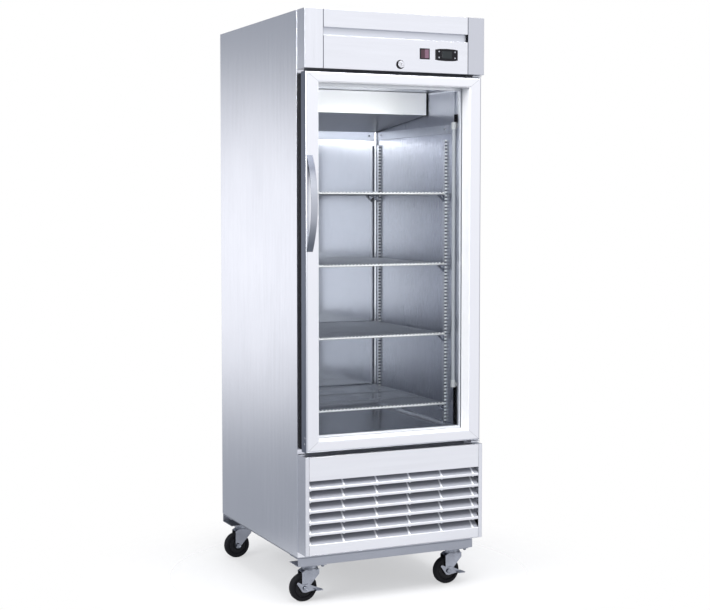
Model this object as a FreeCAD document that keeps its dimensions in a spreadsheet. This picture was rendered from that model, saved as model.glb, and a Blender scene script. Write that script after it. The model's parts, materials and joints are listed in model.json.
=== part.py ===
import FreeCAD, Part
import math
import os
import re

import Sketcher

# Reach-in refrigerator: a tall stainless cabinet with one hinged glass door, a control fascia above the door,
# a louvred grille over the machine compartment below it, four wire shelves inside, and four swivel casters.
# Frame: +X to the right as seen from the front, +Y to the back, +Z up. The origin is on the floor below the
# middle of the cabinet. Lengths are in millimetres. "front_plane" is the cabinet's own front face, on which
# the door's gasket seats; the fascia, door and grille stand in front of it.

# ---------------------------------------------------------------- driving dimensions
DIMENSIONS = {
    "cabinet": {
        "body_width": 700,
        "body_depth": 786,
        "body_top": 2064.5,
        "body_foot": 166,
        "front_plane": -338,
        "sheet_gauge": 1.5,
        "return_width": 28,
        "side_wall": 50,
        "rear_wall": 66,
        "cavity_floor": 575,
        "cavity_ceiling": 1822,
        "cavity_corner": 12,
        "liner_gauge": 1.2,
        "foam_foot": 500,
        "foam_top": 1895,
        "breaker_half": 321.5,
        "breaker_depth": 10,
    },
    "fascia": {
        "fascia_half": 348.5,
        "fascia_depth": 69.5,
        "fascia_foot": 1862.7,
        "seam_left": -279.5,
        "seam_right": 283,
        "seam_gap": 0.8,
        "groove_foot": 1976,
        "groove_top": 2003,
        "groove_depth": 12,
        "lip_clear": 8,
    },
    "controls": {
        "controller_left": 152,
        "controller_right": 240,
        "controller_foot": 1907,
        "controller_top": 1948,
        "controller_proud": 4,
        "controller_body": 48,
        "controller_crown": 2.5,
        "button_radius": 2.6,
        "button_travel": 0.8,
        "button_inset": 12,
        "button_rise": 10,
        "rocker_left": 90,
        "rocker_right": 128,
        "rocker_foot": 1909,
        "rocker_top": 1947,
        "rocker_border": 3,
        "rocker_lean": 8,
        "rocker_play": 1.2,
        "pivot_radius": 1.5,
        "pivot_inset": 2.1,
        "lock_x": 13,
        "lock_height": 1887,
        "lock_radius": 12,
        "lock_proud": 9,
        "lock_body": 24,
        "cam_reach": 41,
        "keyway_width": 2.4,
    },
    "door": {
        "door_left": -343,
        "door_right": 342,
        "door_foot": 543,
        "door_top": 1853,
        "door_front": 65,
        "door_rear": 23,
        "stile_width": 44.5,
        "rail_head": 33,
        "rail_foot": 37,
        "frame_round": 7,
        "reveal_gauge": 3,
        "reveal_rear": 8,
        "glass_gauge": 4,
        "glass_unit": 20,
        "glass_inset": 2.5,
        "spacer_width": 9,
        "gasket_width": 22,
        "gasket_edge": 7,
        "gasket_gap": 0.8,
        "handle_foot": 1237,
        "handle_top": 1567,
        "handle_left": -340.5,
        "handle_width": 22.5,
        "handle_reach": 44.5,
        "handle_gauge": 4.5,
        "hinge_x": 328,
        "hinge_setback": 44,
        "pin_radius": 4,
        "pin_play": 0.05,
        "bush_radius": 8,
        "bracket_gauge": 4,
        "bracket_half": 18,
    },
    "inside": {
        "evaporator_front": 272,
        "evaporator_lip": 1737,
        "evaporator_rear": 712,
        "evaporator_drip": 1692,
        "evaporator_half": 294,
        "evaporator_fan_drop": 51,
        "evaporator_fan_radius": 46,
        "strip_foot": 1660,
        "strip_half": 286,
        "ledge_front": 80,
        "ledge_rear": 698,
        "ledge_gauge": 7,
        "lamp_setback": 34,
        "lamp_radius": 7,
        "lamp_foot": 728,
        "lamp_top": 1698,
        "lamp_cap": 26,
        "channel_width": 36,
        "channel_depth": 6,
        "pilaster_front": 116,
        "pilaster_back": 682,
        "pilaster_width": 16,
        "pilaster_depth": 9,
        "pilaster_top": 1638,
        "slot_pitch": 12.7,
        "slot_width": 2.6,
        "slot_length": 8,
        "shelf_lowest": 660,
        "shelf_pitch": 260.4,
        "shelf_half": 287,
        "shelf_front": 103,
        "shelf_back": 700,
        "rim_radius": 3.2,
        "wire_radius": 1.5,
        "wire_count": 40,
        "clip_reach": 24,
        "clip_width": 12,
        "seat_gap": 0.3,
    },
    "grille": {
        "grille_foot": 185.7,
        "grille_top": 529.8,
        "flange_inner": 334,
        "band_foot": 446,
        "band_head": 222,
        "slat_count": 6,
        "slat_pitch": 39.85,
        "lip_centre": 417.5,
        "lip_half": 4,
        "slat_depth": 32,
        "slat_rise": 29,
        "strap_count": 6,
        "strap_first": -330,
        "strap_pitch": 128.4,
        "strap_width": 7,
        "tab_drop": 3,
    },
    "base": {
        "rail_bottom": 133,
        "rail_crown": 161.5,
        "rail_half": 348,
        "rail_front_width": 78,
        "rail_rear_width": 100,
        "rail_gauge": 2.5,
        "pan_gauge": 2,
        "pan_flange": 183,
        "condenser_fan_radius": 108,
    },
    "machine": {
        "compressor_x": 120,
        "compressor_setback": 430,
        "compressor_rise": 18,
        "mounting_half": 90,
        "foot_spread": 78,
        "foot_radius": 11,
        "foot_height": 22,
        "condenser_left": -300,
        "condenser_right": 60,
        "condenser_front": 14,
        "condenser_rear": 64,
        "condenser_foot": 14,
        "condenser_head": 300,
        "end_plate": 6,
        "shroud_front": 72,
        "shroud_rear": 112,
        "shroud_gauge": 4,
        "mouth_radius": 118,
        "blower_x": -120,
        "blower_height": 154,
        "blower_setback": 106,
        "drip_left": -300,
        "drip_right": -20,
        "drip_front": 520,
        "drip_rear": 740,
        "drip_height": 42,
        "drip_gauge": 2,
        "supply_left": 170,
        "supply_right": 320,
        "supply_front": 610,
        "supply_rear": 720,
        "supply_height": 120,
        "gland_x": 285,
        "gland_radius": 11,
        "gland_bore": 5,
    },
    "caster": {
        "swivel_x": 286,
        "swivel_front": 39,
        "swivel_rear": 723,
        "caster_trail": 28,
        "wheel_radius": 50,
        "wheel_half": 15,
        "axle_radius": 5,
        "axle_play": 0.06,
        "plate_x": 95,
        "plate_y": 74,
        "plate_gauge": 3,
        "race_radius": 26,
        "fork_top": 117.4,
        "crown_foot": 107,
        "fork_half": 21,
        "fork_slot": 17.5,
        "kingpin_radius": 6,
        "kingpin_foot": 104,
        "brake_gauge": 2.5,
    },
}

doc = FreeCAD.newDocument("reach_in_refrigerator")
sheet = doc.addObject("Spreadsheet::Sheet", "dims")
row = 0
for group, entries in DIMENSIONS.items():
    for alias, number in entries.items():
        row += 1
        sheet.set(f"A{row}", f"{group}: {alias.replace('_', ' ')}")
        sheet.set(f"B{row}", str(number))
        sheet.setAlias(f"B{row}", alias)
doc.recompute()

ALIAS = re.compile(r"\b[a-z]+(?:_[a-z]+)+\b")
SUBPARTS = []


# ---------------------------------------------------------------- helpers
def cells(expression):
    """The expression with every dimension's name pointing at its cell of the sheet."""
    return ALIAS.sub(lambda found: "dims." + found.group(), str(expression))


def value(expression):
    return float(sheet.evalExpression(cells(expression)))


def bind(target, prop, expression):
    target.setExpression(prop, cells(expression))


def behind(distance):
    """A Y position the given distance behind the cabinet's front face; negative is in front of it."""
    return f"(front_plane + ({distance}))"


def subpart(label, shape_holder):
    shape_holder.Label = label
    SUBPARTS.append(shape_holder)
    return shape_holder


def box(name, x, y, z):
    """A block between a low and a high expression on each axis."""
    block = doc.addObject("Part::Box", name)
    for size, axis, (low, high) in (("Length", "x", x), ("Width", "y", y), ("Height", "z", z)):
        bind(block, size, f"({high}) - ({low})")
        bind(block, f"Placement.Base.{axis}", low)
    return block


TURN_TO = {
    "X": FreeCAD.Rotation(FreeCAD.Vector(0, 0, 1), FreeCAD.Vector(1, 0, 0)),
    "Y": FreeCAD.Rotation(FreeCAD.Vector(0, 0, 1), FreeCAD.Vector(0, 1, 0)),
    "Z": FreeCAD.Rotation(),
}


def rod(name, axis, radius, length, start):
    """A cylinder that runs along an axis from its start point."""
    cylinder = doc.addObject("Part::Cylinder", name)
    cylinder.Placement = FreeCAD.Placement(FreeCAD.Vector(), TURN_TO[axis])
    bind(cylinder, "Radius", radius)
    bind(cylinder, "Height", length)
    for letter, place in zip("xyz", start):
        bind(cylinder, f"Placement.Base.{letter}", place)
    return cylinder


def join(name, pieces):
    union = doc.addObject("Part::MultiFuse", name)
    union.Shapes = pieces
    union.Refine = True
    return union


def group_of(name, pieces):
    compound = doc.addObject("Part::Compound", name)
    compound.Links = pieces
    return compound


def cut(name, base, tools):
    tool = tools[0] if len(tools) == 1 else group_of(name + "_tools", tools)
    result = doc.addObject("Part::Cut", name)
    result.Base = base
    result.Tool = tool
    return result


def origin_plane(body, role):
    return next(item for item in body.Origin.OriginFeatures if item.Role == role)


def sketch_on(body, plane, offset, name):
    """A sketch on one of the body's own planes, moved along that plane's normal."""
    sketch = body.newObject("Sketcher::SketchObject", name)
    sketch.AttachmentSupport = [(origin_plane(body, plane + "_Plane"), "")]
    sketch.MapMode = "FlatFace"
    bind(sketch, "AttachmentOffset.Base.z", offset)
    return sketch


def pin_point(sketch, geometry, position, place):
    """Hold one point of the sketch at two expressions measured from the sketch's origin."""
    for kind, expression in zip(("DistanceX", "DistanceY"), place):
        datum = Sketcher.Constraint(kind, -1, 1, geometry, position, value(expression))
        index = sketch.addConstraint(datum)
        bind(sketch, f"Constraints[{index}]", expression)


def outline(sketch, corners):
    """A closed outline of straight edges."""
    points = [FreeCAD.Vector(value(x), value(y), 0) for x, y in corners]
    first = sketch.GeometryCount
    count = len(points)
    for index in range(count):
        edge = Part.LineSegment(points[index], points[(index + 1) % count])
        sketch.addGeometry(edge, False)
    for index in range(count):
        follower = first + (index + 1) % count
        sketch.addConstraint(Sketcher.Constraint("Coincident", first + index, 2, follower, 1))
    for index, corner in enumerate(corners):
        pin_point(sketch, first + index, 1, corner)


def pad(body, sketch, length, name):
    feature = body.newObject("PartDesign::Pad", name)
    feature.Profile = sketch
    bind(feature, "Length", length)
    return feature


# The direction a pad grows in from its sketch: XY grows to +Z, YZ to +X, and XZ to -Y.
def extrusion(name, plane, low, high, *outlines):
    """A body whose outline on a plane is padded from low to high along the third axis."""
    body = doc.addObject("PartDesign::Body", name)
    offset = f"-({high})" if plane == "XZ" else low
    sketch = sketch_on(body, plane, offset, name + "_outline")
    for corners in outlines:
        outline(sketch, corners)
    pad(body, sketch, f"({high}) - ({low})", name + "_pad")
    return body


def round_edges(body, name, radius, chosen):
    """Round those edges of the body that the test picks."""
    doc.recompute()
    tip = body.Tip
    names = [f"Edge{n}" for n, edge in enumerate(tip.Shape.Edges, 1) if chosen(edge)]
    feature = body.newObject("PartDesign::Fillet", name)
    feature.Base = (tip, names)
    bind(feature, "Radius", radius)
    return feature


def revolved(name, corners):
    """A body of revolution about its own Z axis, from an outline of (radius, height) corners."""
    body = doc.addObject("PartDesign::Body", name)
    sketch = sketch_on(body, "XZ", "0", name + "_outline")
    outline(sketch, corners)
    turn = body.newObject("PartDesign::Revolution", name + "_turn")
    turn.Profile = sketch
    turn.ReferenceAxis = (sketch, ["V_Axis"])
    turn.Angle = 360
    return body


def place(target, position, rotation=None):
    target.Placement = FreeCAD.Placement(FreeCAD.Vector(), rotation or FreeCAD.Rotation())
    for letter, expression in zip("xyz", position):
        bind(target, f"Placement.Base.{letter}", expression)
    return target


def along(edge, axis):
    """True for a straight edge parallel to the axis."""
    if not isinstance(edge.Curve, Part.Line):
        return False
    direction = edge.Curve.Direction
    return abs(getattr(direction, axis)) > 0.999


def edge_at(edge, axis, expression):
    """True for an edge whose middle lies at the given coordinate."""
    middle = edge.CenterOfMass
    return abs(getattr(middle, axis) - value(expression)) < 0.01


LEFT = "(-body_width / 2)"
RIGHT = "(body_width / 2)"
REAR = behind("body_depth")
CAVITY_HALF = "(body_width / 2 - side_wall)"
CAVITY_BACK = behind("body_depth - rear_wall")


# ---------------------------------------------------------------- cabinet shell
def side_panels():
    """An outer skin on each side, folded inwards at the front to make the face the gasket seats on."""
    for side, sign in (("left", -1), ("right", 1)):
        skin = f"{sign} * body_width / 2"
        inner = f"{sign} * (body_width / 2 - sheet_gauge)"
        lip = f"{sign} * (body_width / 2 - return_width)"
        corners = [
            (skin, behind(0)),
            (lip, behind(0)),
            (lip, behind("sheet_gauge")),
            (inner, behind("sheet_gauge")),
            (inner, REAR),
            (skin, REAR),
        ]
        subpart(f"side_panel_{side}", extrusion(f"side_{side}", "XY", "body_foot", "body_top", corners))


def flat_panels():
    inner = "(body_width / 2 - sheet_gauge)"
    width = (f"-{inner}", inner)
    back = (behind("body_depth - sheet_gauge"), REAR)
    top = box("top_sheet", width, (behind("sheet_gauge"), back[0]), ("body_top - sheet_gauge", "body_top"))
    subpart("top_panel", top)
    sheet_back = box("back_sheet", width, back, ("foam_foot - 6", "body_top - sheet_gauge"))
    subpart("back_panel", sheet_back)


def rear_cover():
    """The removable cover over the machine compartment, with rows of air slots."""
    slot_length, slot_height, slot_space = 130, 9, 24
    columns, rows, lowest_row, row_pitch = 4, 9, 208, 28
    plate = box(
        "rear_cover_plate",
        ("-(body_width / 2 - sheet_gauge)", "body_width / 2 - sheet_gauge"),
        (behind("body_depth - sheet_gauge"), REAR),
        ("body_foot + 1", "foam_foot - 7"),
    )
    slots = []
    for column in range(columns):
        for level in range(rows):
            x = (column - (columns - 1) / 2) * (slot_length + slot_space) - slot_length / 2
            z = lowest_row + level * row_pitch
            slot = box(
                f"rear_slot_{column}_{level}",
                (x, x + slot_length),
                (behind("body_depth - 4"), behind("body_depth + 4")),
                (z, z + slot_height),
            )
            slots.append(slot)
    subpart("rear_cover", cut("rear_cover_cut", plate, slots))


def rounded_block(name, half, front, back, foot, top, radius):
    """A block with every edge rounded except those of its front face."""
    corners = [(f"-{half}", front), (half, front), (half, back), (f"-{half}", back)]
    body = extrusion(name, "XY", foot, top, corners)
    front_place = value(front)
    round_edges(
        body,
        name + "_round",
        radius,
        lambda edge: abs(edge.BoundBox.YMax - front_place) > 0.01,
    )
    return body


def insulation_and_liner():
    """Foam walls round the compartment, lined with a thin stainless skin whose corners are coved."""
    front = behind("breaker_depth")
    skin_half = f"({CAVITY_HALF} + liner_gauge)"
    blank = rounded_block(
        "liner_blank",
        skin_half,
        front,
        f"({CAVITY_BACK} + liner_gauge)",
        "cavity_floor - liner_gauge",
        "cavity_ceiling + liner_gauge",
        "cavity_corner + liner_gauge",
    )
    hollow = rounded_block(
        "liner_hollow",
        CAVITY_HALF,
        behind("breaker_depth - 5"),
        CAVITY_BACK,
        "cavity_floor",
        "cavity_ceiling",
        "cavity_corner",
    )
    subpart("inner_liner", cut("liner_shell", blank, [hollow]))
    foam = box(
        "foam_block",
        ("-(body_width / 2 - sheet_gauge)", "body_width / 2 - sheet_gauge"),
        (front, behind("body_depth - sheet_gauge")),
        ("foam_foot", "foam_top"),
    )
    subpart("foam_insulation", cut("foam_walls", foam, [blank]))


def breaker_frame():
    """The plastic frame between the outer skin and the liner, all round the door opening."""
    outer = box(
        "breaker_outer",
        ("-breaker_half", "breaker_half"),
        (behind(0), behind("breaker_depth")),
        ("foam_foot", "foam_top"),
    )
    inner = box(
        "breaker_inner",
        (f"-{CAVITY_HALF}", CAVITY_HALF),
        (behind(-2), behind("breaker_depth + 2")),
        ("cavity_floor", "cavity_ceiling"),
    )
    subpart("breaker_frame", cut("breaker_ring", outer, [inner]))


# ---------------------------------------------------------------- fascia and controls
def fascia():
    """The control fascia: a folded centre panel with a recessed groove, between two end posts."""
    front = behind("-fascia_depth")
    skin = behind("-fascia_depth + sheet_gauge")
    recess = behind("-fascia_depth + groove_depth")
    recess_skin = behind("-fascia_depth + groove_depth + sheet_gauge")
    head_back = behind(-1)
    foot_back = behind("-lip_clear")
    section = [
        (head_back, "body_top"),
        (front, "body_top"),
        (front, "groove_top"),
        (recess, "groove_top"),
        (recess, "groove_foot"),
        (front, "groove_foot"),
        (front, "fascia_foot"),
        (foot_back, "fascia_foot"),
        (foot_back, "fascia_foot + sheet_gauge"),
        (skin, "fascia_foot + sheet_gauge"),
        (skin, "groove_foot - sheet_gauge"),
        (recess_skin, "groove_foot - sheet_gauge"),
        (recess_skin, "groove_top + sheet_gauge"),
        (skin, "groove_top + sheet_gauge"),
        (skin, "body_top - sheet_gauge"),
        (head_back, "body_top - sheet_gauge"),
    ]
    left_end, right_end = "seam_left + seam_gap / 2", "seam_right - seam_gap / 2"
    panel = extrusion("fascia_section", "YZ", left_end, right_end, section)
    through = (behind("-fascia_depth - 3"), behind("-fascia_depth + 5"))
    controller_hole = box(
        "controller_hole",
        ("controller_left + 3", "controller_right - 3"),
        through,
        ("controller_foot + 3", "controller_top - 3"),
    )
    rocker_hole = box(
        "rocker_hole",
        ("rocker_left + 1.5", "rocker_right - 1.5"),
        through,
        ("rocker_foot + 1.5", "rocker_top - 1.5"),
    )
    lock_hole = rod(
        "lock_hole", "Y", "lock_radius - 1.5 + axle_play", 12, ("lock_x", through[0], "lock_height")
    )
    cam_slot = box(
        "cam_slot",
        ("lock_x - 9", "lock_x + cam_reach + 4"),
        (behind("-fascia_depth + lock_body - 4"), behind("-fascia_depth + lock_body + 3")),
        ("fascia_foot - 2", "fascia_foot + 4"),
    )
    holed = cut("fascia_holed", panel, [controller_hole, rocker_hole, lock_hole, cam_slot])
    subpart("fascia_panel", holed)
    posts = []
    for side, sign, seam in (("left", -1, "seam_left"), ("right", 1, "seam_right")):
        outer_edge = f"{sign} * fascia_half"
        seam_edge = f"{seam} + {sign} * seam_gap / 2"
        inner_edge = f"{sign} * (fascia_half - sheet_gauge)"
        open_edge = f"{seam} - {sign} * 5"
        low, high = (outer_edge, seam_edge) if sign < 0 else (seam_edge, outer_edge)
        shell = box(f"post_shell_{side}", (low, high), (front, behind(0)), ("fascia_foot", "body_top"))
        low, high = (inner_edge, open_edge) if sign < 0 else (open_edge, inner_edge)
        hollow = box(
            f"post_hollow_{side}",
            (low, high),
            (skin, behind(3)),
            ("fascia_foot + sheet_gauge", "body_top - sheet_gauge"),
        )
        bracket_room = box(
            f"post_notch_{side}",
            (low, high),
            (behind("-lip_clear"), behind(3)),
            ("fascia_foot - 2", "fascia_foot + 3"),
        )
        posts.append(cut(f"fascia_post_{side}", shell, [hollow, bracket_room]))
    subpart("fascia_end_posts", group_of("fascia_posts", posts))


def controller():
    """The temperature controller: a black housing, crowned above and below, with four small push buttons."""
    face = behind("-fascia_depth - controller_proud")
    middle = "(controller_left + controller_right) / 2"
    crown_corners = [
        ("controller_left", "controller_foot + controller_crown"),
        ("controller_left + 14", "controller_foot"),
        (middle, "controller_foot - 1"),
        ("controller_right - 14", "controller_foot"),
        ("controller_right", "controller_foot + controller_crown"),
        ("controller_right", "controller_top - controller_crown"),
        ("controller_right - 14", "controller_top"),
        (middle, "controller_top + 1"),
        ("controller_left + 14", "controller_top"),
        ("controller_left", "controller_top - controller_crown"),
    ]
    bezel = extrusion("controller_bezel", "XZ", face, behind("-fascia_depth"), crown_corners)
    round_edges(
        bezel,
        "controller_bezel_round",
        1.5,
        lambda edge: edge_at(edge, "y", face),
    )
    body = box(
        "controller_case",
        ("controller_left + 4", "controller_right - 4"),
        (behind("-fascia_depth - 0.5"), behind("-fascia_depth + controller_body")),
        ("controller_foot + 4", "controller_top - 4"),
    )
    window = box(
        "controller_window",
        ("controller_left + 23", "controller_right - 23"),
        (behind("-fascia_depth - controller_proud - 2"), behind("-fascia_depth - controller_proud + 0.6")),
        ("controller_foot + 7", "controller_top - 7"),
    )
    wells = []
    places = {
        "set": ("controller_left + button_inset", "controller_top - button_rise"),
        "light": ("controller_left + button_inset", "controller_foot + button_rise"),
        "up": ("controller_right - button_inset", "controller_top - button_rise"),
        "down": ("controller_right - button_inset", "controller_foot + button_rise"),
    }
    for name, (x, z) in places.items():
        well = rod(
            f"button_well_{name}", "Y", "button_radius + 0.3", 9, (x, behind("-fascia_depth - 6"), z)
        )
        wells.append(well)
        button = rod(
            f"button_cap_{name}",
            "Y",
            "button_radius",
            5,
            (x, behind("-fascia_depth - controller_proud - 1.2"), z),
        )
        subpart(f"controller_button_{name}", button)
    case = join("controller_solid", [bezel, body])
    subpart("controller_housing", cut("controller_cut", case, [window, *wells]))


def rocker_switch():
    """The lamp switch: a square bezel in which the rocker leans to one side or the other about Z."""
    face = behind("-fascia_depth - 2")
    frame = box(
        "rocker_frame",
        ("rocker_left", "rocker_right"),
        (face, behind("-fascia_depth")),
        ("rocker_foot", "rocker_top"),
    )
    can = box(
        "rocker_can",
        ("rocker_left + 2", "rocker_right - 2"),
        (behind("-fascia_depth - 1"), behind("-fascia_depth + 26")),
        ("rocker_foot + 2", "rocker_top - 2"),
    )
    well = box(
        "rocker_well",
        ("rocker_left + rocker_border", "rocker_right - rocker_border"),
        (behind("-fascia_depth - 4"), behind("-fascia_depth + 15")),
        ("rocker_foot + rocker_border", "rocker_top - rocker_border"),
    )
    shell = join("rocker_case", [frame, can])
    axis_x, axis_y = "(rocker_left + rocker_right) / 2", behind("-fascia_depth + 2")
    pivot_foot = (axis_x, axis_y, "rocker_foot + pivot_inset")
    pivot_length = "rocker_top - rocker_foot - 2 * pivot_inset"
    pivot_hole = rod("rocker_pivot_hole", "Z", "pivot_radius + pin_play", pivot_length, pivot_foot)
    subpart("rocker_bezel", cut("rocker_case_cut", shell, [well, pivot_hole]))
    half = "((rocker_right - rocker_left) / 2 - rocker_border - rocker_play)"
    rocker = extrusion(
        "rocker_paddle",
        "XY",
        "rocker_foot + rocker_border + 0.4",
        "rocker_top - rocker_border - 0.4",
        [
            (f"-{half}", -4.5),
            (0, -3),
            (half, -4.5),
            (half, 2),
            (4, 6),
            (-4, 6),
            (f"-{half}", 2),
        ],
    )
    lean = FreeCAD.Rotation(FreeCAD.Vector(0, 0, 1), -value("rocker_lean"))
    place(rocker, (axis_x, axis_y, 0), lean)
    pivot = rod("rocker_pivot", "Z", "pivot_radius", pivot_length, pivot_foot)
    subpart("rocker_switch", join("rocker_solid", [rocker, pivot]))


def lock():
    """The key cylinder of the door lock, which turns in the fascia."""
    head = rod(
        "lock_head", "Y", "lock_radius", "lock_proud",
        ("lock_x", behind("-fascia_depth - lock_proud"), "lock_height"),
    )
    stem = rod(
        "lock_stem", "Y", "lock_radius - 1.5", "lock_body",
        ("lock_x", behind("-fascia_depth - 1"), "lock_height"),
    )
    cam = box(
        "lock_cam",
        ("lock_x - 6", "lock_x + cam_reach"),
        (behind("-fascia_depth + lock_body - 2"), behind("-fascia_depth + lock_body + 1")),
        ("lock_height - 6", "lock_height + 6"),
    )
    keyway = box(
        "lock_keyway",
        ("lock_x - keyway_width / 2", "lock_x + keyway_width / 2"),
        (behind("-fascia_depth - lock_proud - 1"), behind("-fascia_depth - lock_proud + 6")),
        ("lock_height - 4.5", "lock_height + 4.5"),
    )
    solid = join("lock_solid", [head, stem, cam])
    subpart("lock_cylinder", cut("lock_cut", solid, [keyway]))


# ---------------------------------------------------------------- door
DOOR_FACE = behind("-door_front")
DOOR_BACK = behind("-door_rear")
WINDOW = {
    "left": "(door_left + stile_width)",
    "right": "(door_right - stile_width)",
    "foot": "(door_foot + rail_foot)",
    "top": "(door_top - rail_head)",
}


def mitred_ring(name, outer, inner, low, high):
    """Four members with mitred ends round a rectangle; each rectangle is (left, right, foot, top)."""
    corner = {
        "foot_left": ((outer[0], outer[2]), (inner[0], inner[2])),
        "foot_right": ((outer[1], outer[2]), (inner[1], inner[2])),
        "top_right": ((outer[1], outer[3]), (inner[1], inner[3])),
        "top_left": ((outer[0], outer[3]), (inner[0], inner[3])),
    }
    order = list(corner)
    members = []
    for index, start in enumerate(order):
        end = order[(index + 1) % len(order)]
        corners = [corner[start][0], corner[end][0], corner[end][1], corner[start][1]]
        members.append(extrusion(f"{name}_{start}", "XZ", low, high, corners))
    return members


def door_frame():
    """Four mitred frame members with rounded front edges, bored for the two hinge bushes."""
    outer = ("door_left", "door_right", "door_foot", "door_top")
    inner = tuple(WINDOW.values())
    members = mitred_ring("door_member", outer, inner, DOOR_FACE, DOOR_BACK)
    for member in members:
        round_edges(
            member,
            member.Name + "_round",
            "frame_round",
            lambda edge: edge_at(edge, "y", DOOR_FACE)
            and (along(edge, "x") or along(edge, "z"))
            and (
                edge_at(edge, "x", "door_left")
                or edge_at(edge, "x", "door_right")
                or edge_at(edge, "z", "door_foot")
                or edge_at(edge, "z", "door_top")
            ),
        )
    bore_place = ("hinge_x", behind("-hinge_setback"))
    foot_bore = rod("foot_bore", "Z", "bush_radius", 28, (*bore_place, "door_foot - 2"))
    head_bore = rod("head_bore", "Z", "bush_radius", 28, (*bore_place, "door_top - 26"))
    keeper = box(
        "lock_keeper",
        ("lock_x - 9", "lock_x + cam_reach - 6"),
        (behind("-fascia_depth + lock_body - 4"), behind("-fascia_depth + lock_body + 3")),
        ("door_top - 9", "door_top + 2"),
    )
    bored = []
    for member in members:
        bored.append(cut(member.Name + "_bored", member, [foot_bore, head_bore, keeper]))
    subpart("door_frame", group_of("door_frame_members", bored))


def door_surround():
    """The deep surround between the door's face and its glass."""
    outer = tuple(WINDOW.values())
    gauge = "reveal_gauge"
    inner = (
        f"({outer[0]} + {gauge})",
        f"({outer[1]} - {gauge})",
        f"({outer[2]} + {gauge})",
        f"({outer[3]} - {gauge})",
    )
    members = mitred_ring("surround", outer, inner, behind("-door_front + 2"), behind("-reveal_rear"))
    subpart("door_surround", group_of("surround_members", members))


def door_glass():
    """Two panes held apart by a spacer round their edge."""
    edges = (
        f"({WINDOW['left']} + glass_inset)",
        f"({WINDOW['right']} - glass_inset)",
        f"({WINDOW['foot']} + glass_inset)",
        f"({WINDOW['top']} - glass_inset)",
    )
    face = "-reveal_rear"
    width = (edges[0], edges[1])
    height = (edges[2], edges[3])
    front_pane = box("pane_front", width, (behind(face), behind(f"{face} + glass_gauge")), height)
    back_pane = box(
        "pane_back",
        width,
        (behind(f"{face} + glass_unit - glass_gauge"), behind(f"{face} + glass_unit")),
        height,
    )
    subpart("door_glass", group_of("glass_panes", [front_pane, back_pane]))
    spacer_inner = (
        f"({edges[0]} + spacer_width)",
        f"({edges[1]} - spacer_width)",
        f"({edges[2]} + spacer_width)",
        f"({edges[3]} - spacer_width)",
    )
    bars = mitred_ring(
        "spacer",
        edges,
        spacer_inner,
        behind(f"{face} + glass_gauge"),
        behind(f"{face} + glass_unit - glass_gauge"),
    )
    subpart("glass_spacer", group_of("spacer_bars", bars))


def door_gasket():
    """The magnetic gasket, welded at its corners, in the groove of the door's back face."""
    outer = (
        "(door_left + gasket_edge)",
        "(door_right - gasket_edge - 1)",
        "(door_foot + gasket_edge)",
        "(door_top - gasket_edge)",
    )
    inner = (
        f"({outer[0]} + gasket_width)",
        f"({outer[1]} - gasket_width)",
        f"({outer[2]} + gasket_width - 2)",
        f"({outer[3]} - gasket_width + 2)",
    )
    sides = mitred_ring("gasket", outer, inner, DOOR_BACK, behind("-gasket_gap"))
    subpart("door_gasket", group_of("gasket_sides", sides))


def door_handle():
    """A flat strip bent to a bow, whose ends are fixed to the door's left stile."""
    body = doc.addObject("PartDesign::Body", "handle_bow")
    sketch = sketch_on(body, "YZ", "handle_left", "handle_outline")
    height = "(handle_foot + handle_top) / 2"
    bows = (
        ("(handle_top - handle_foot) / 2", "handle_reach"),
        ("((handle_top - handle_foot) / 2 - 3 * handle_gauge)", "(handle_reach - handle_gauge)"),
    )
    face, middle = value(DOOR_FACE), value(height)
    ends = []
    for spread, rise in bows:
        reach = value(spread)
        low = FreeCAD.Vector(face, middle - reach, 0)
        peak = FreeCAD.Vector(face - value(rise), middle, 0)
        high = FreeCAD.Vector(face, middle + reach, 0)
        arc = sketch.addGeometry(Part.Arc(high, peak, low), False)
        ends.append((arc, low, high))
    (outer_arc, outer_low, outer_high), (inner_arc, inner_low, inner_high) = ends
    foot_line = sketch.addGeometry(Part.LineSegment(outer_low, inner_low), False)
    top_line = sketch.addGeometry(Part.LineSegment(outer_high, inner_high), False)
    for line_end, (arc, (spread, rise)) in enumerate(zip((outer_arc, inner_arc), bows), 1):
        geometry = sketch.Geometry[arc]
        foot_end, top_end = (1, 2) if geometry.StartPoint.y < geometry.EndPoint.y else (2, 1)
        pin_point(sketch, arc, foot_end, (DOOR_FACE, f"{height} - {spread}"))
        pin_point(sketch, arc, top_end, (DOOR_FACE, f"{height} + {spread}"))
        radius = f"(({spread}) * ({spread}) + ({rise}) * ({rise})) / (2 * ({rise}))"
        datum = sketch.addConstraint(Sketcher.Constraint("Radius", arc, value(radius)))
        bind(sketch, f"Constraints[{datum}]", radius)
        sketch.addConstraint(Sketcher.Constraint("Coincident", foot_line, line_end, arc, foot_end))
        sketch.addConstraint(Sketcher.Constraint("Coincident", top_line, line_end, arc, top_end))
    pad(body, sketch, "handle_width", "handle_pad")
    subpart("door_handle", body)


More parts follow.
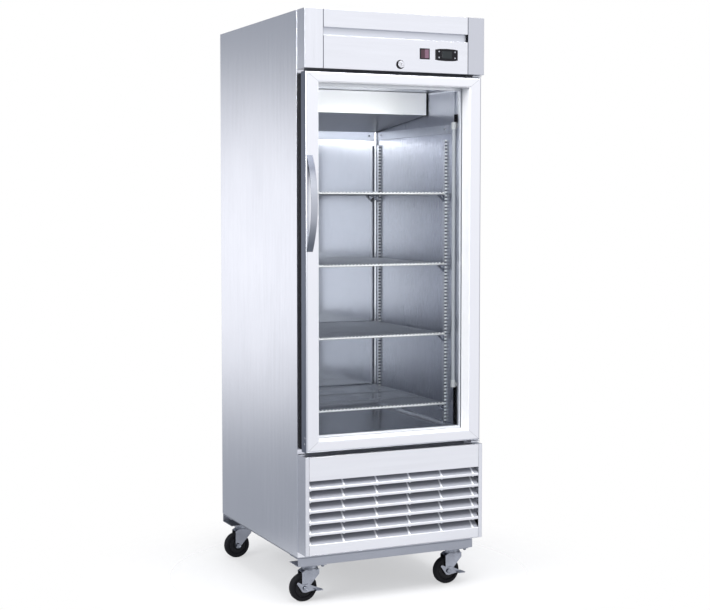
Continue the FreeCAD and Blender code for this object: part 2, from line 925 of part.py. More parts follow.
def hinges():
    """A bracket with a fixed pin above and below the door, and a plastic bush in each rail for the pin."""
    place_x = ("hinge_x - bracket_half", "hinge_x + bracket_half")
    setback = behind("-hinge_setback")
    levels = {
        "top": ("door_top + 3", "door_top + 3 + bracket_gauge", "door_top - 20", "door_top + 50"),
        "bottom": ("door_foot - 4 - bracket_gauge", "door_foot - 4", "door_foot + 20", "door_foot - 58"),
    }
    brackets = []
    for name, (foot, top, pin_end, leg_end) in levels.items():
        plate = box(
            f"hinge_plate_{name}", place_x, (behind("-hinge_setback - 12"), behind(0)), (foot, top)
        )
        leg_low, leg_high = (foot, leg_end) if name == "top" else (leg_end, top)
        leg = box(f"hinge_leg_{name}", place_x, (behind("-bracket_gauge"), behind(0)), (leg_low, leg_high))
        pin_low, pin_high = (pin_end, foot) if name == "top" else (top, pin_end)
        pin_length = f"({pin_high}) - ({pin_low})"
        pin = rod(f"hinge_pin_{name}", "Z", "pin_radius", pin_length, ("hinge_x", setback, pin_low))
        brackets.append(join(f"hinge_{name}", [plate, leg, pin]))
    subpart("hinge_brackets", group_of("hinge_pair", brackets))
    bushes = []
    for name, start in (("foot", "door_foot"), ("head", "door_top - 24")):
        sleeve = rod(f"bush_sleeve_{name}", "Z", "bush_radius", 24, ("hinge_x", setback, start))
        hole = rod(
            f"bush_hole_{name}", "Z", "pin_radius + pin_play", 30, ("hinge_x", setback, f"{start} - 3")
        )
        bushes.append(cut(f"bush_{name}", sleeve, [hole]))
    subpart("hinge_bushes", group_of("bushes", bushes))


# ---------------------------------------------------------------- inside the compartment
def evaporator():
    """The cooling unit under the ceiling: coil, fan and motor behind a cover that drains to the back."""
    front = behind("evaporator_front")
    rear = behind("evaporator_rear")
    gauge = "sheet_gauge"
    section = [
        (front, "cavity_ceiling - 2"),
        (front, "evaporator_lip"),
        (rear, "evaporator_drip"),
        (rear, f"evaporator_drip + {gauge}"),
        (f"{front} + {gauge}", f"evaporator_lip + {gauge}"),
        (f"{front} + {gauge}", "cavity_ceiling - 2"),
    ]
    tray = extrusion("evaporator_tray", "YZ", "-evaporator_half", "evaporator_half", section)
    strip = box(
        "drain_strip",
        ("-strip_half", "strip_half"),
        (rear, behind("evaporator_rear + 7")),
        ("strip_foot", "evaporator_drip + 2"),
    )
    subpart("evaporator_cover", join("evaporator_shell", [tray, strip]))
    coil_foot, coil_top, coil_half = "cavity_ceiling - 74", "cavity_ceiling - 4", 262
    coil_front, coil_rear = 300, 420
    core = box(
        "coil_core",
        (-coil_half, coil_half),
        (behind(coil_front), behind(coil_rear)),
        (coil_foot, coil_top),
    )
    tubes, tube_pitch, tube_radius, tube_length = 4, 30, 5, 14
    bends = []
    for level in range(tubes):
        for side in (-1, 1):
            x = coil_half - 2 if side > 0 else 2 - coil_half - tube_length
            start = (x, behind(coil_front + tube_pitch * (level + 0.5)), "cavity_ceiling - 38")
            bends.append(rod(f"coil_bend_{level}_{side + 1}", "X", tube_radius, tube_length, start))
    subpart("evaporator_coil", join("coil_body", [core, *bends]))
    fan_height = "cavity_ceiling - evaporator_fan_drop"
    fan_setback, motor_setback, shaft_radius = 448, 470, 3
    motor = rod("evaporator_motor_can", "Y", 24, 50, (0, behind(motor_setback), fan_height))
    stay = box(
        "motor_stay",
        (-6, 6),
        (behind(motor_setback + 15), behind(motor_setback + 30)),
        (fan_height, "cavity_ceiling - 1"),
    )
    shaft = rod("motor_shaft", "Y", shaft_radius, 26, (0, behind(fan_setback - 3), fan_height))
    blades = 5
    wheel = fan("evaporator", "evaporator_fan_radius", blades, fan_setback, fan_height, 0, shaft_radius)
    subpart("evaporator_fan", wheel)
    return join("evaporator_motor_body", [motor, stay, shaft])


def fan(name, tip_radius, blades, setback, height, x, shaft_radius):
    """An axial fan about Y: pitched blades on a hub that runs on the motor's shaft."""
    radius = value(tip_radius)
    tilt_angle, thickness, hub_radius, hub_length, overlap = 58, 1.6, 15, 14, 3
    chord = 0.62 * radius
    pieces = [rod(f"{name}_hub", "Y", hub_radius, hub_length, (0, 0, 0))]
    for index in range(blades):
        blade = doc.addObject("Part::Box", f"{name}_blade_{index}")
        blade.Length = radius - hub_radius + overlap
        blade.Width = chord
        blade.Height = thickness
        spin = FreeCAD.Rotation(FreeCAD.Vector(0, 1, 0), 360 * index / blades)
        tilt = FreeCAD.Rotation(FreeCAD.Vector(1, 0, 0), tilt_angle)
        root = FreeCAD.Vector(hub_radius - overlap, -chord / 2, -thickness / 2)
        centre = FreeCAD.Placement(root, FreeCAD.Rotation())
        shift = FreeCAD.Placement(FreeCAD.Vector(0, hub_length / 2, 0), FreeCAD.Rotation())
        blade.Placement = shift.multiply(
            FreeCAD.Placement(FreeCAD.Vector(), spin).multiply(
                FreeCAD.Placement(FreeCAD.Vector(), tilt).multiply(centre)
            )
        )
        pieces.append(blade)
    solid = join(f"{name}_fan_solid", pieces)
    hole = rod(f"{name}_fan_hole", "Y", f"{shaft_radius} + pin_play", hub_length + 8, (0, -4, 0))
    drilled = cut(f"{name}_fan_drilled", solid, [hole])
    return place(drilled, (x, behind(setback), height))


def lamp():
    """A tube lamp in a channel on the right wall, just inside the opening."""
    wall = CAVITY_HALF
    centre = f"({wall} - channel_depth - lamp_radius - 3)"
    channel = box(
        "lamp_channel_bar",
        (f"{wall} - channel_depth", wall),
        (behind("lamp_setback - channel_width / 2"), behind("lamp_setback + channel_width / 2")),
        ("cavity_floor + cavity_corner", "cavity_ceiling - cavity_corner"),
    )
    groove = box(
        "lamp_channel_groove",
        (f"{wall} - channel_depth - 2", f"{wall} - 2"),
        (
            behind("lamp_setback - channel_width / 2 + 3"),
            behind("lamp_setback + channel_width / 2 - 3"),
        ),
        ("cavity_floor", "cavity_ceiling"),
    )
    subpart("lamp_channel", cut("lamp_channel_cut", channel, [groove]))
    tube = rod(
        "lamp_glass",
        "Z",
        "lamp_radius",
        "lamp_top - lamp_foot - 2 * lamp_cap + 8",
        (centre, behind("lamp_setback"), "lamp_foot + lamp_cap - 4"),
    )
    subpart("lamp_tube", tube)
    caps = []
    ends = (
        ("foot", "lamp_foot", "lamp_foot + 6"),
        ("top", "lamp_top - lamp_cap", "lamp_top - 18"),
    )
    for name, start, clip in ends:
        socket = (centre, behind("lamp_setback"), start)
        sleeve = rod(f"cap_sleeve_{name}", "Z", "lamp_radius + 2.5", "lamp_cap", socket)
        foot = box(
            f"cap_foot_{name}",
            (centre, f"{wall} - 2"),
            (behind("lamp_setback - 6"), behind("lamp_setback + 6")),
            (clip, f"{clip} + 12"),
        )
        solid = join(f"cap_solid_{name}", [sleeve, foot])
        caps.append(cut(f"cap_{name}", solid, [tube]))
    subpart("lamp_end_caps", group_of("lamp_caps", caps))


def pilasters():
    """Four slotted shelf uprights, two on each side wall, with a ledge along the wall above them."""
    slots = int((value("pilaster_top") - value("cavity_floor") - 40) / value("slot_pitch"))
    strips = []
    for side, sign in (("left", -1), ("right", 1)):
        for row_name, setback in (("front", "pilaster_front"), ("back", "pilaster_back")):
            name = f"pilaster_{side}_{row_name}"
            wall = f"{sign} * {CAVITY_HALF}"
            crest = f"{sign} * ({CAVITY_HALF} - pilaster_depth)"
            inner = f"{sign} * ({CAVITY_HALF} - pilaster_depth + sheet_gauge)"
            near, far = behind(setback), behind(f"{setback} + pilaster_width")
            section = [
                (wall, near),
                (crest, near),
                (crest, far),
                (wall, far),
                (wall, f"{far} - sheet_gauge"),
                (inner, f"{far} - sheet_gauge"),
                (inner, f"{near} + sheet_gauge"),
                (wall, f"{near} + sheet_gauge"),
            ]
            body = extrusion(name, "XY", "cavity_floor + cavity_corner", "pilaster_top", section)
            sketch = sketch_on(body, "YZ", f"{sign} * ({CAVITY_HALF} - pilaster_depth / 2)", name + "_slot")
            middle = f"{near} + pilaster_width / 2"
            foot = "cavity_floor + 30"
            outline(
                sketch,
                [
                    (f"{middle} - slot_width / 2", foot),
                    (f"{middle} + slot_width / 2", foot),
                    (f"{middle} + slot_width / 2", f"{foot} + slot_length"),
                    (f"{middle} - slot_width / 2", f"{foot} + slot_length"),
                ],
            )
            pocket = body.newObject("PartDesign::Pocket", name + "_pocket")
            pocket.Profile = sketch
            pocket.Reversed = sign < 0
            bind(pocket, "Length", "pilaster_depth")
            doc.recompute()
            rows = body.newObject("PartDesign::LinearPattern", name + "_slots")
            rows.Originals = [pocket]
            rows.Direction = (sketch, ["V_Axis"])
            bind(rows, "Length", f"slot_pitch * {slots - 1}")
            rows.Occurrences = slots
            body.Tip = rows
            strips.append(body)
        wall, face = f"{sign} * {CAVITY_HALF}", f"{sign} * ({CAVITY_HALF} - ledge_gauge)"
        strips.append(
            box(
                f"wall_ledge_{side}",
                (wall, face) if sign < 0 else (face, wall),
                (behind("ledge_front"), behind("ledge_rear")),
                ("strip_foot", "evaporator_drip - 1"),
            )
        )
    subpart("pilasters", group_of("pilaster_set", strips))


def shelf_height(level):
    return f"(shelf_lowest + shelf_pitch * {level})"


def shelf_clips():
    """A triangular clip hooked in each pilaster under each corner of each shelf."""
    clips = []
    for level in range(4):
        seat = f"({shelf_height(level)} - 2 * rim_radius - seat_gap)"
        for side, sign in (("left", -1), ("right", 1)):
            wall = f"{sign} * ({CAVITY_HALF} - pilaster_depth)"
            tip = f"{sign} * ({CAVITY_HALF} - pilaster_depth - clip_reach)"
            thick_wall = f"{sign} * ({CAVITY_HALF} - pilaster_depth - 2)"
            inner_tip = f"{sign} * ({CAVITY_HALF} - pilaster_depth - clip_reach + 7)"
            for row_name, setback in (("front", "pilaster_front"), ("back", "pilaster_back")):
                middle = f"{setback} + pilaster_width / 2"
                near, far = behind(f"{middle} - clip_width / 2"), behind(f"{middle} + clip_width / 2")
                outer = [
                    (wall, seat),
                    (tip, seat),
                    (tip, f"{seat} - 2.5"),
                    (wall, f"{seat} - 26"),
                ]
                window = [
                    (thick_wall, f"{seat} - 2.5"),
                    (inner_tip, f"{seat} - 2.5"),
                    (thick_wall, f"{seat} - 20"),
                ]
                clips.append(extrusion(f"clip_{level}_{side}_{row_name}", "XZ", near, far, outer, window))
    subpart("shelf_clips", group_of("clip_set", clips))


def shelves():
    """Four welded wire shelves: a rim and cross bars of heavy wire under a row of thin wires."""
    half, front, back = value("shelf_half"), value(behind("shelf_front")), value(behind("shelf_back"))
    rim, wire, count = value("rim_radius"), value("wire_radius"), int(value("wire_count"))
    y_axis, x_axis = FreeCAD.Vector(0, 1, 0), FreeCAD.Vector(1, 0, 0)
    bars = []
    for portion in (0, 0.34, 0.67, 1):
        y = front + rim + portion * (back - front - 2 * rim)
        bars.append(Part.makeCylinder(rim, 2 * half, FreeCAD.Vector(-half, y, 0), x_axis))
    for sign in (-1, 1):
        x = sign * (half - rim)
        bars.append(Part.makeCylinder(rim, back - front, FreeCAD.Vector(x, front, 0), y_axis))
    spacing = 2 * (half - 2 * rim - wire) / (count - 1)
    for index in range(count):
        x = -half + 2 * rim + wire + index * spacing
        start = FreeCAD.Vector(x, front + 0.6, rim)
        bars.append(Part.makeCylinder(wire, back - front - 1.2, start, y_axis))
    grid = bars[0].multiFuse(bars[1:])
    for level in range(4):
        shelf = doc.addObject("Part::Feature", f"shelf_grid_{level + 1}")
        shelf.Shape = grid
        place(shelf, (0, 0, f"{shelf_height(level)} - rim_radius"))
        subpart(f"wire_shelf_{level + 1}", shelf)


# ---------------------------------------------------------------- grille and machine compartment
def grille():
    """The lower front: a folded frame with narrow flanges that holds the louvre panel."""
    front = behind("-fascia_depth")
    skin = behind("-fascia_depth + sheet_gauge")
    outer = box(
        "grille_outer", ("-fascia_half", "fascia_half"), (front, behind(0)), ("grille_foot", "grille_top")
    )
    hollow = box(
        "grille_hollow",
        ("-(fascia_half - sheet_gauge)", "fascia_half - sheet_gauge"),
        (skin, behind(3)),
        ("grille_foot + sheet_gauge", "grille_top - sheet_gauge"),
    )
    window = box(
        "grille_window",
        ("-flange_inner", "flange_inner"),
        (behind("-fascia_depth - 3"), behind("-fascia_depth + 5")),
        ("grille_foot + sheet_gauge", "grille_top - sheet_gauge"),
    )
    hinge_room = box(
        "grille_hinge_room",
        ("-(fascia_half - sheet_gauge)", "fascia_half - sheet_gauge"),
        (behind("-lip_clear"), behind(3)),
        ("grille_top - 4", "grille_top + 2"),
    )
    subpart("grille_frame", cut("grille_frame_cut", outer, [hollow, window, hinge_room]))


def down_the_rows(body, name):
    """The body's one feature repeated for every slat, from the top row down."""
    doc.recompute()
    rows = body.newObject("PartDesign::LinearPattern", name)
    rows.Originals = [body.Tip]
    rows.Direction = (body.Group[0], ["V_Axis"])
    rows.Reversed = True
    bind(rows, "Length", "slat_pitch * (slat_count - 1)")
    rows.Occurrences = int(value("slat_count"))
    body.Tip = rows
    return body


def louvre_panel():
    """Sloping slats with a lip at the front, webbed to straps behind them, between two flat bands."""
    face = "-fascia_depth"
    front, skin = behind(face), behind(f"{face} + sheet_gauge")
    half = "(flange_inner - 0.5)"
    pieces = [
        box(
            "louvre_top_band",
            (f"-{half}", half),
            (front, skin),
            ("band_foot", "grille_top - sheet_gauge - 0.5"),
        ),
        box(
            "louvre_bottom_band",
            (f"-{half}", half),
            (front, skin),
            ("grille_foot + sheet_gauge + 0.5", "band_head"),
        ),
    ]
    lip_foot, lip_head = "(lip_centre - lip_half)", "(lip_centre + lip_half)"
    section = [
        (front, lip_foot),
        (front, lip_head),
        (behind(f"{face} + slat_depth"), f"{lip_head} + slat_rise"),
        (behind(f"{face} + slat_depth"), f"{lip_head} + slat_rise - 2"),
        (skin, f"{lip_head} - 2"),
        (skin, lip_foot),
    ]
    slats = extrusion("louvre_slats", "YZ", f"-{half}", half, section)
    pieces.append(down_the_rows(slats, "louvre_rows"))
    pieces.append(
        box(
            "louvre_band_fold",
            (f"-{half}", half),
            (front, behind(f"{face} + slat_depth + 2")),
            ("band_foot", "band_foot + sheet_gauge"),
        )
    )
    web = [
        (skin, f"{lip_foot} - tab_drop"),
        (skin, f"{lip_head} - 1"),
        (behind(f"{face} + slat_depth"), f"{lip_head} + slat_rise - 1"),
        (behind(f"{face} + slat_depth"), f"{lip_head} + slat_rise - 2"),
        (behind(f"{face} + 6"), f"{lip_foot} - tab_drop"),
    ]
    for index in range(int(value("strap_count"))):
        centre = f"(strap_first + strap_pitch * {index})"
        left, right = f"{centre} - strap_width / 2", f"{centre} + strap_width / 2"
        webs = extrusion(f"louvre_web_{index}", "YZ", left, right, web)
        pieces.append(down_the_rows(webs, f"louvre_web_rows_{index}"))
        pieces.append(
            box(
                f"louvre_strap_{index}",
                (left, right),
                (behind(f"{face} + slat_depth - 1"), behind(f"{face} + slat_depth + 2")),
                ("grille_foot + 8", "band_foot + sheet_gauge"),
            )
        )
    subpart("louvre_panel", join("louvre_panel_solid", pieces))


def machine(evaporator_motor):
    """The refrigerating machine on the base pan; the two fan motors share one node."""
    floor = "(rail_crown + pan_gauge)"
    middle = behind("compressor_setback")
    compressor = revolved(
        "compressor_shell",
        [(0, 0), (72, 0), (84, 12), (88, 40), (88, 118), (80, 146), (56, 168), (0, 176)],
    )
    place(compressor, ("compressor_x", middle, f"{floor} + compressor_rise"))
    feet = []
    for index, (x, y) in enumerate(((-1, -1), (1, -1), (-1, 1), (1, 1))):
        corner = (f"compressor_x + {x} * foot_spread", f"{middle} + {y} * foot_spread", floor)
        feet.append(rod(f"compressor_foot_{index}", "Z", "foot_radius", "foot_height", corner))
    plate = box(
        "compressor_plate",
        ("compressor_x - mounting_half", "compressor_x + mounting_half"),
        (f"{middle} - mounting_half", f"{middle} + mounting_half"),
        (f"{floor} + compressor_rise - 5", f"{floor} + compressor_rise + 2"),
    )
    subpart("compressor", join("compressor_assembly", [compressor, plate, *feet]))

    core = box(
        "condenser_core",
        ("condenser_left", "condenser_right"),
        (behind("condenser_front"), behind("condenser_rear")),
        (f"{floor} + condenser_foot", f"{floor} + condenser_head"),
    )
    plates = []
    for side, x in (("left", "(condenser_left - 4)"), ("right", "(condenser_right - 2)")):
        plate = box(
            f"condenser_plate_{side}",
            (x, f"{x} + end_plate"),
            (behind("condenser_front - 4"), behind("condenser_rear + 6")),
            (floor, f"{floor} + condenser_head + 6"),
        )
        plates.append(plate)
    condenser = join("condenser_body", [core, *plates])

    axle = f"{floor} + blower_height"
    shroud = box(
        "shroud_block",
        ("condenser_left + 2", "condenser_right - 2"),
        (behind("shroud_front"), behind("shroud_rear")),
        (f"{floor} + shroud_gauge", f"{floor} + condenser_head + shroud_gauge"),
    )
    shroud_room = box(
        "shroud_room",
        ("condenser_left + 2 + shroud_gauge", "condenser_right - 2 - shroud_gauge"),
        (behind("shroud_front - shroud_gauge"), behind("shroud_rear - shroud_gauge")),
        (f"{floor} + 2 * shroud_gauge", f"{floor} + condenser_head"),
    )
    mouth_front = behind("shroud_front - 2")
    shroud_mouth = rod("shroud_mouth", "Y", "mouth_radius", 60, ("blower_x", mouth_front, axle))
    shroud_shell = cut("shroud_cut", shroud, [shroud_room, shroud_mouth])
    subpart("condenser_coil", group_of("condenser_set", [condenser, shroud_shell]))
    motor_front = behind("blower_setback + 28")
    motor = rod("condenser_motor_can", "Y", 40, 62, ("blower_x", motor_front, axle))
    shaft_radius, blades = 4, 4
    shaft = rod(
        "condenser_motor_shaft", "Y", shaft_radius, 34, ("blower_x", behind("blower_setback - 2"), axle)
    )
    post = box(
        "condenser_motor_post",
        ("blower_x - 16", "blower_x + 16"),
        (f"{motor_front} + 16", f"{motor_front} + 46"),
        (floor, f"{axle} - 24"),
    )
    condenser_motor = join("condenser_motor_body", [motor, shaft, post])
    subpart("fan_motors", group_of("motor_pair", [evaporator_motor, condenser_motor]))
    wheel = fan("condenser", "condenser_fan_radius", blades, "blower_setback", axle, "blower_x", shaft_radius)
    subpart("condenser_fan", wheel)

    pan_outer = box(
        "drip_outer",
        ("drip_left", "drip_right"),
        (behind("drip_front"), behind("drip_rear")),
        (f"{floor} + 1", f"{floor} + drip_height"),
    )
    pan_inner = box(
        "drip_inner",
        ("drip_left + drip_gauge", "drip_right - drip_gauge"),
        (behind("drip_front + drip_gauge"), behind("drip_rear - drip_gauge")),
        (f"{floor} + 1 + drip_gauge", f"{floor} + drip_height + 2"),
    )
    subpart("condensate_pan", cut("drip_cut", pan_outer, [pan_inner]))

    gland_height = f"{floor} + supply_height / 2"
    supply = box(
        "supply_case",
        ("supply_left", "supply_right"),
        (behind("supply_front"), behind("supply_rear")),
        (floor, f"{floor} + supply_height"),
    )
    gland_front = behind("supply_rear - 2")
    gland = rod("supply_gland", "Y", "gland_radius", 44, ("gland_x", gland_front, gland_height))
    gland_hole = rod("supply_gland_hole", "Y", "gland_bore", 50, ("gland_x", gland_front, gland_height))
    subpart("electrical_box", cut("supply_cut", join("supply_body", [supply, gland]), [gland_hole]))
    pipes()


def pipe(name, points, radius, bend):
    """A round pipe along straight runs joined by tangent arcs."""
    corners = [FreeCAD.Vector(*point) for point in points]
    edges = []
    start = corners[0]
    for before, corner, after in zip(corners, corners[1:], corners[2:]):
        into = (corner - before).normalize()
        away = (after - corner).normalize()
        half_turn = into.getAngle(away) / 2
        reach = bend * math.tan(half_turn)
        arc_start = corner - into * reach
        arc_end = corner + away * reach
        inward = (away - into).normalize()
        centre = corner + inward * (bend / math.cos(half_turn))
        arc_middle = centre - inward * bend
        edges.append(Part.LineSegment(start, arc_start).toShape())
        edges.append(Part.Arc(arc_start, arc_middle, arc_end).toShape())
        start = arc_end
    edges.append(Part.LineSegment(start, corners[-1]).toShape())
    path = Part.Wire(edges)
    direction = (corners[1] - corners[0]).normalize()
    profile = Part.Wire([Part.makeCircle(radius, corners[0], direction)])
    feature = doc.addObject("Part::Feature", name)
    feature.Shape = path.makePipeShell([profile], True, True)
    return feature


def pipes():
    """The copper pipes between compressor, condenser, drier and the riser to the evaporator."""
    floor = value("rail_crown + pan_gauge")
    front = value(behind(0))
    discharge = pipe(
        "discharge_pipe",
        [(70, front + 352, floor + 150), (70, front + 230, floor + 150), (70, front + 230, floor + 250),
         (70, front + 40, floor + 250)],
        4,
        18,
    )
    liquid = pipe(
        "liquid_pipe",
        [(70, front + 40, floor + 40), (110, front + 40, floor + 40), (110, front + 160, floor + 40),
         (240, front + 160, floor + 40), (240, front + 300, floor + 40), (240, front + 300, floor + 320)],
        3,
        14,
    )
    drier = rod("filter_drier", "X", 11, 90, (130, front + 160, floor + 40))
    suction = pipe(
        "suction_pipe",
        [(170, front + 352, floor + 150), (170, front + 310, floor + 150), (170, front + 310, floor + 320)],
        6,
        20,
    )
    subpart("refrigerant_pipes", join("pipe_set", [discharge, liquid, drier, suction]))


# ---------------------------------------------------------------- base and casters
def base():
    """Two C-channel rails under a folded base pan."""
    half = "rail_half"
    rails = []
    for name, web, edge, sign in (
        ("front", behind(0), behind("rail_front_width"), 1),
        ("rear", REAR, behind("body_depth - rail_rear_width"), -1),
    ):
        inner = f"{web} + {sign} * rail_gauge"
        section = [
            (web, "rail_bottom"),
            (edge, "rail_bottom"),
            (edge, "rail_bottom + rail_gauge"),
            (inner, "rail_bottom + rail_gauge"),
            (inner, "rail_crown - rail_gauge"),
            (edge, "rail_crown - rail_gauge"),
            (edge, "rail_crown"),
            (web, "rail_crown"),
        ]
        rails.append(extrusion(f"rail_{name}", "YZ", f"-{half}", half, section))
    subpart("base_rails", group_of("rail_pair", rails))
    width = ("-(body_width / 2 - sheet_gauge - 0.5)", "body_width / 2 - sheet_gauge - 0.5")
    front, back = behind("sheet_gauge + 0.5"), behind("body_depth - sheet_gauge - 0.5")
    floor = box("pan_floor", width, (front, back), ("rail_crown", "rail_crown + pan_gauge"))
    flanges = [
        box("pan_front", width, (front, f"{front} + pan_gauge"), ("rail_crown", "pan_flange")),
        box("pan_back", width, (f"{back} - pan_gauge", back), ("rail_crown", "pan_flange")),
    ]
    subpart("base_pan", join("pan_body", [floor, *flanges]))


def casters():
    """Four swivel casters, all trailing to the left, the front two with a brake lever on the axle."""
    plates = []
    for end, setback in (("front", "swivel_front"), ("rear", "swivel_rear")):
        for side, sign in (("left", -1), ("right", 1)):
            name = f"{end}_{side}"
            x, y = f"({sign} * swivel_x)", behind(setback)
            plates.append(caster_plate(name, x, y))
            caster_fork(name, x, y)
            caster_wheel(name, x, y)
            if end == "front":
                brake_lever(name, x, y)
    subpart("caster_plates", group_of("caster_plate_set", plates))


def caster_plate(name, x, y):
    plate_foot = "(rail_bottom - plate_gauge)"
    plate = box(
        f"plate_{name}",
        (f"{x} - plate_x / 2", f"{x} + plate_x / 2"),
        (f"{y} - plate_y / 2", f"{y} + plate_y / 2"),
        (plate_foot, "rail_bottom"),
    )
    race = rod(f"race_{name}", "Z", "race_radius", f"{plate_foot} - fork_top - 0.6", (x, y, "fork_top + 0.6"))
    kingpin = rod(
        f"kingpin_{name}", "Z", "kingpin_radius", f"{plate_foot} - kingpin_foot", (x, y, "kingpin_foot")
    )
    heads = []
    for index, (sign_x, sign_y) in enumerate(((-1, -1), (1, -1), (-1, 1), (1, 1))):
        heads.append(
            rod(
                f"plate_bolt_{name}_{index}",
                "Z",
                5.5,
                4,
                (f"{x} + {sign_x} * 37", f"{y} + {sign_y} * 27", f"{plate_foot} - 4"),
            )
        )
    return join(f"caster_plate_{name}", [plate, race, kingpin, *heads])


def caster_fork(name, x, y):
    """A pressed fork whose legs lean back to the axle, with the axle bolt through both legs."""
    boss = 11
    axle_x, axle_z = "(-caster_trail)", "wheel_radius"
    outer = [
        (f"{axle_x} - {boss}", axle_z),
        (f"{axle_x} - {boss}", "fork_top - 11"),
        (f"{axle_x} + 1", "fork_top - 3.4"),
        (27, "fork_top - 3.4"),
        (27, "fork_top - 20"),
        (f"{axle_x} + {boss} - 1", "wheel_radius - 3"),
    ]
    legs = extrusion(f"fork_legs_{name}", "XZ", "-fork_half", "fork_half", outer)
    ends = rod(f"fork_boss_{name}", "Y", boss, "2 * fork_half", (axle_x, "-fork_half", axle_z))
    crown = rod(f"fork_crown_{name}", "Z", 28, 6, (0, 0, "fork_top - 6"))
    slot = box(f"fork_slot_{name}", (-90, 90), ("-fork_slot", "fork_slot"), (-5, "crown_foot"))
    solid = join(f"fork_solid_{name}", [legs, ends, crown])
    bore = rod(f"fork_bore_{name}", "Z", "kingpin_radius + pin_play", 40, (0, 0, "fork_top - 25"))
    eye_length, eye_start = "2 * fork_half + 10", (axle_x, "-fork_half - 5", axle_z)
    eye = rod(f"fork_eye_{name}", "Y", "axle_radius", eye_length, eye_start)
    fork = cut(f"fork_{name}", solid, [slot, bore, eye])
    shank = rod(f"axle_{name}", "Y", "axle_radius", "2 * fork_half + 16", (axle_x, "-fork_half - 8", axle_z))
    head = rod(f"axle_head_{name}", "Y", 8.5, 5, (axle_x, "-fork_half - 9.5", axle_z))
    nut = rod(f"axle_nut_{name}", "Y", 8.5, 5, (axle_x, "fork_half", axle_z))
    bolt = join(f"axle_bolt_{name}", [shank, head, nut])
    subpart(f"caster_fork_{name}", place(group_of(f"fork_set_{name}", [fork, bolt]), (x, y, 0)))


def caster_wheel(name, x, y):
    """A wheel with a rounded tread and a recessed web on each side of its hub."""
    half, rim, bore = "wheel_half", "wheel_radius", "axle_radius + axle_play"
    profile = [
        (bore, f"-{half}"),
        (14, f"-{half}"),
        (16, "-wheel_half + 5"),
        (35, "-wheel_half + 5"),
        (37, "-wheel_half + 1"),
        ("wheel_radius - 5", "-wheel_half + 1"),
        (f"{rim} - 1.5", "-wheel_half + 4"),
        (rim, "-wheel_half + 8"),
        (rim, "wheel_half - 8"),
        (f"{rim} - 1.5", "wheel_half - 4"),
        ("wheel_radius - 5", "wheel_half - 1"),
        (37, "wheel_half - 1"),
        (35, "wheel_half - 5"),
        (16, "wheel_half - 5"),
        (14, half),
        (bore, half),
    ]
    wheel = revolved(f"wheel_{name}", profile)
    place(wheel, (f"{x} - caster_trail", y, "wheel_radius"), TURN_TO["Y"])
    subpart(f"caster_wheel_{name}", wheel)


def brake_lever(name, x, y):
    """A pressed lever that pivots on the axle bolt outside the fork: toe plate right, heel left."""
    low, high = "-fork_half - brake_gauge - 0.6", "-fork_half - 0.6"
    profile = [
        (-33, 20), (-28, 24), (-4, 13), (12, 15), (27, 8), (40, 2), (62, -6),
        (60, -9), (36, -9), (16, -12), (2, -15), (-10, -13),
    ]
    plate = extrusion(f"brake_plate_{name}", "XZ", low, high, profile)
    toe = box(f"brake_toe_{name}", (36, 62), ("-fork_half - 17", "-fork_half - 0.6"), (-9.5, -6))
    solid = join(f"brake_solid_{name}", [plate, toe])
    eye = rod(f"brake_eye_{name}", "Y", "axle_radius + axle_play", 20, (0, "-fork_half - 10", 0))
    lever = place(cut(f"brake_cut_{name}", solid, [eye]), (f"{x} - caster_trail", y, "wheel_radius"))
    subpart(f"brake_lever_{name}", lever)


# ---------------------------------------------------------------- build, check and write
def check():
    """Stop if any object failed or any sub-part's shape is missing or broken."""
    doc.recompute()
    for item in doc.Objects:
        if "Invalid" in item.State or "Error" in item.State:
            raise RuntimeError(f"{item.Name} ({item.Label}) is {item.State}")
    for item in SUBPARTS:
        if item.Shape.isNull() or not item.Shape.isValid():
            raise RuntimeError(f"{item.Label} has no valid shape")
        if not item.Shape.Solids:
            raise RuntimeError(f"{item.Label} has no solid")


def write():
    os.makedirs("parts", exist_ok=True)
    for item in SUBPARTS:
        item.Shape.exportStep(f"parts/{item.Label}.step")
    print(f"{len(SUBPARTS)} sub-parts written")


side_panels()
flat_panels()
rear_cover()
insulation_and_liner()
breaker_frame()
fascia()
controller()
rocker_switch()
lock()
door_frame()
door_surround()
door_glass()
door_gasket()
door_handle()
hinges()
upper_motor = evaporator()
lamp()
pilasters()
shelf_clips()
shelves()
grille()
louvre_panel()
machine(upper_motor)
base()
casters()
check()
write()
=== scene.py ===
"""Looks for a single-door reach-in refrigerator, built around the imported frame.

The order is: materials, what each CAD node wears, the added pieces, the stage, the light and the camera.
Lengths are in metres in the row frame: X right seen from the front, Y back, Z up, the floor at Z = 0.
"""

import json
import math

import bmesh
import bpy
from mathutils import Matrix, Vector


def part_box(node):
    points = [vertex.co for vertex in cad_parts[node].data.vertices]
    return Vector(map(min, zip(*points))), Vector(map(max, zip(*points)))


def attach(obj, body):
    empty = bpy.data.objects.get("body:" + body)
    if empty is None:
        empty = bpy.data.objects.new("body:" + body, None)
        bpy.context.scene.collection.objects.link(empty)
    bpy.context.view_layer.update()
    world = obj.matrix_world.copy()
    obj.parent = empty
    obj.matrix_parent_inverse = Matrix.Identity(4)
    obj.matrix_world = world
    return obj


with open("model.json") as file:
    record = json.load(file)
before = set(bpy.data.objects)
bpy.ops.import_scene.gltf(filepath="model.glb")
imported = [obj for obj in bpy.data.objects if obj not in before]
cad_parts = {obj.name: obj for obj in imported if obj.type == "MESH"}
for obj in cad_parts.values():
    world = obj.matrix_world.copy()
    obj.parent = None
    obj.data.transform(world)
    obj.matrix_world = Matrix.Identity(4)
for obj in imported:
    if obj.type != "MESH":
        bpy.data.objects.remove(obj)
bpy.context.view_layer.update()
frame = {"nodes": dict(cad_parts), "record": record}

MM = 0.001


# ---------------------------------------------------------------- materials


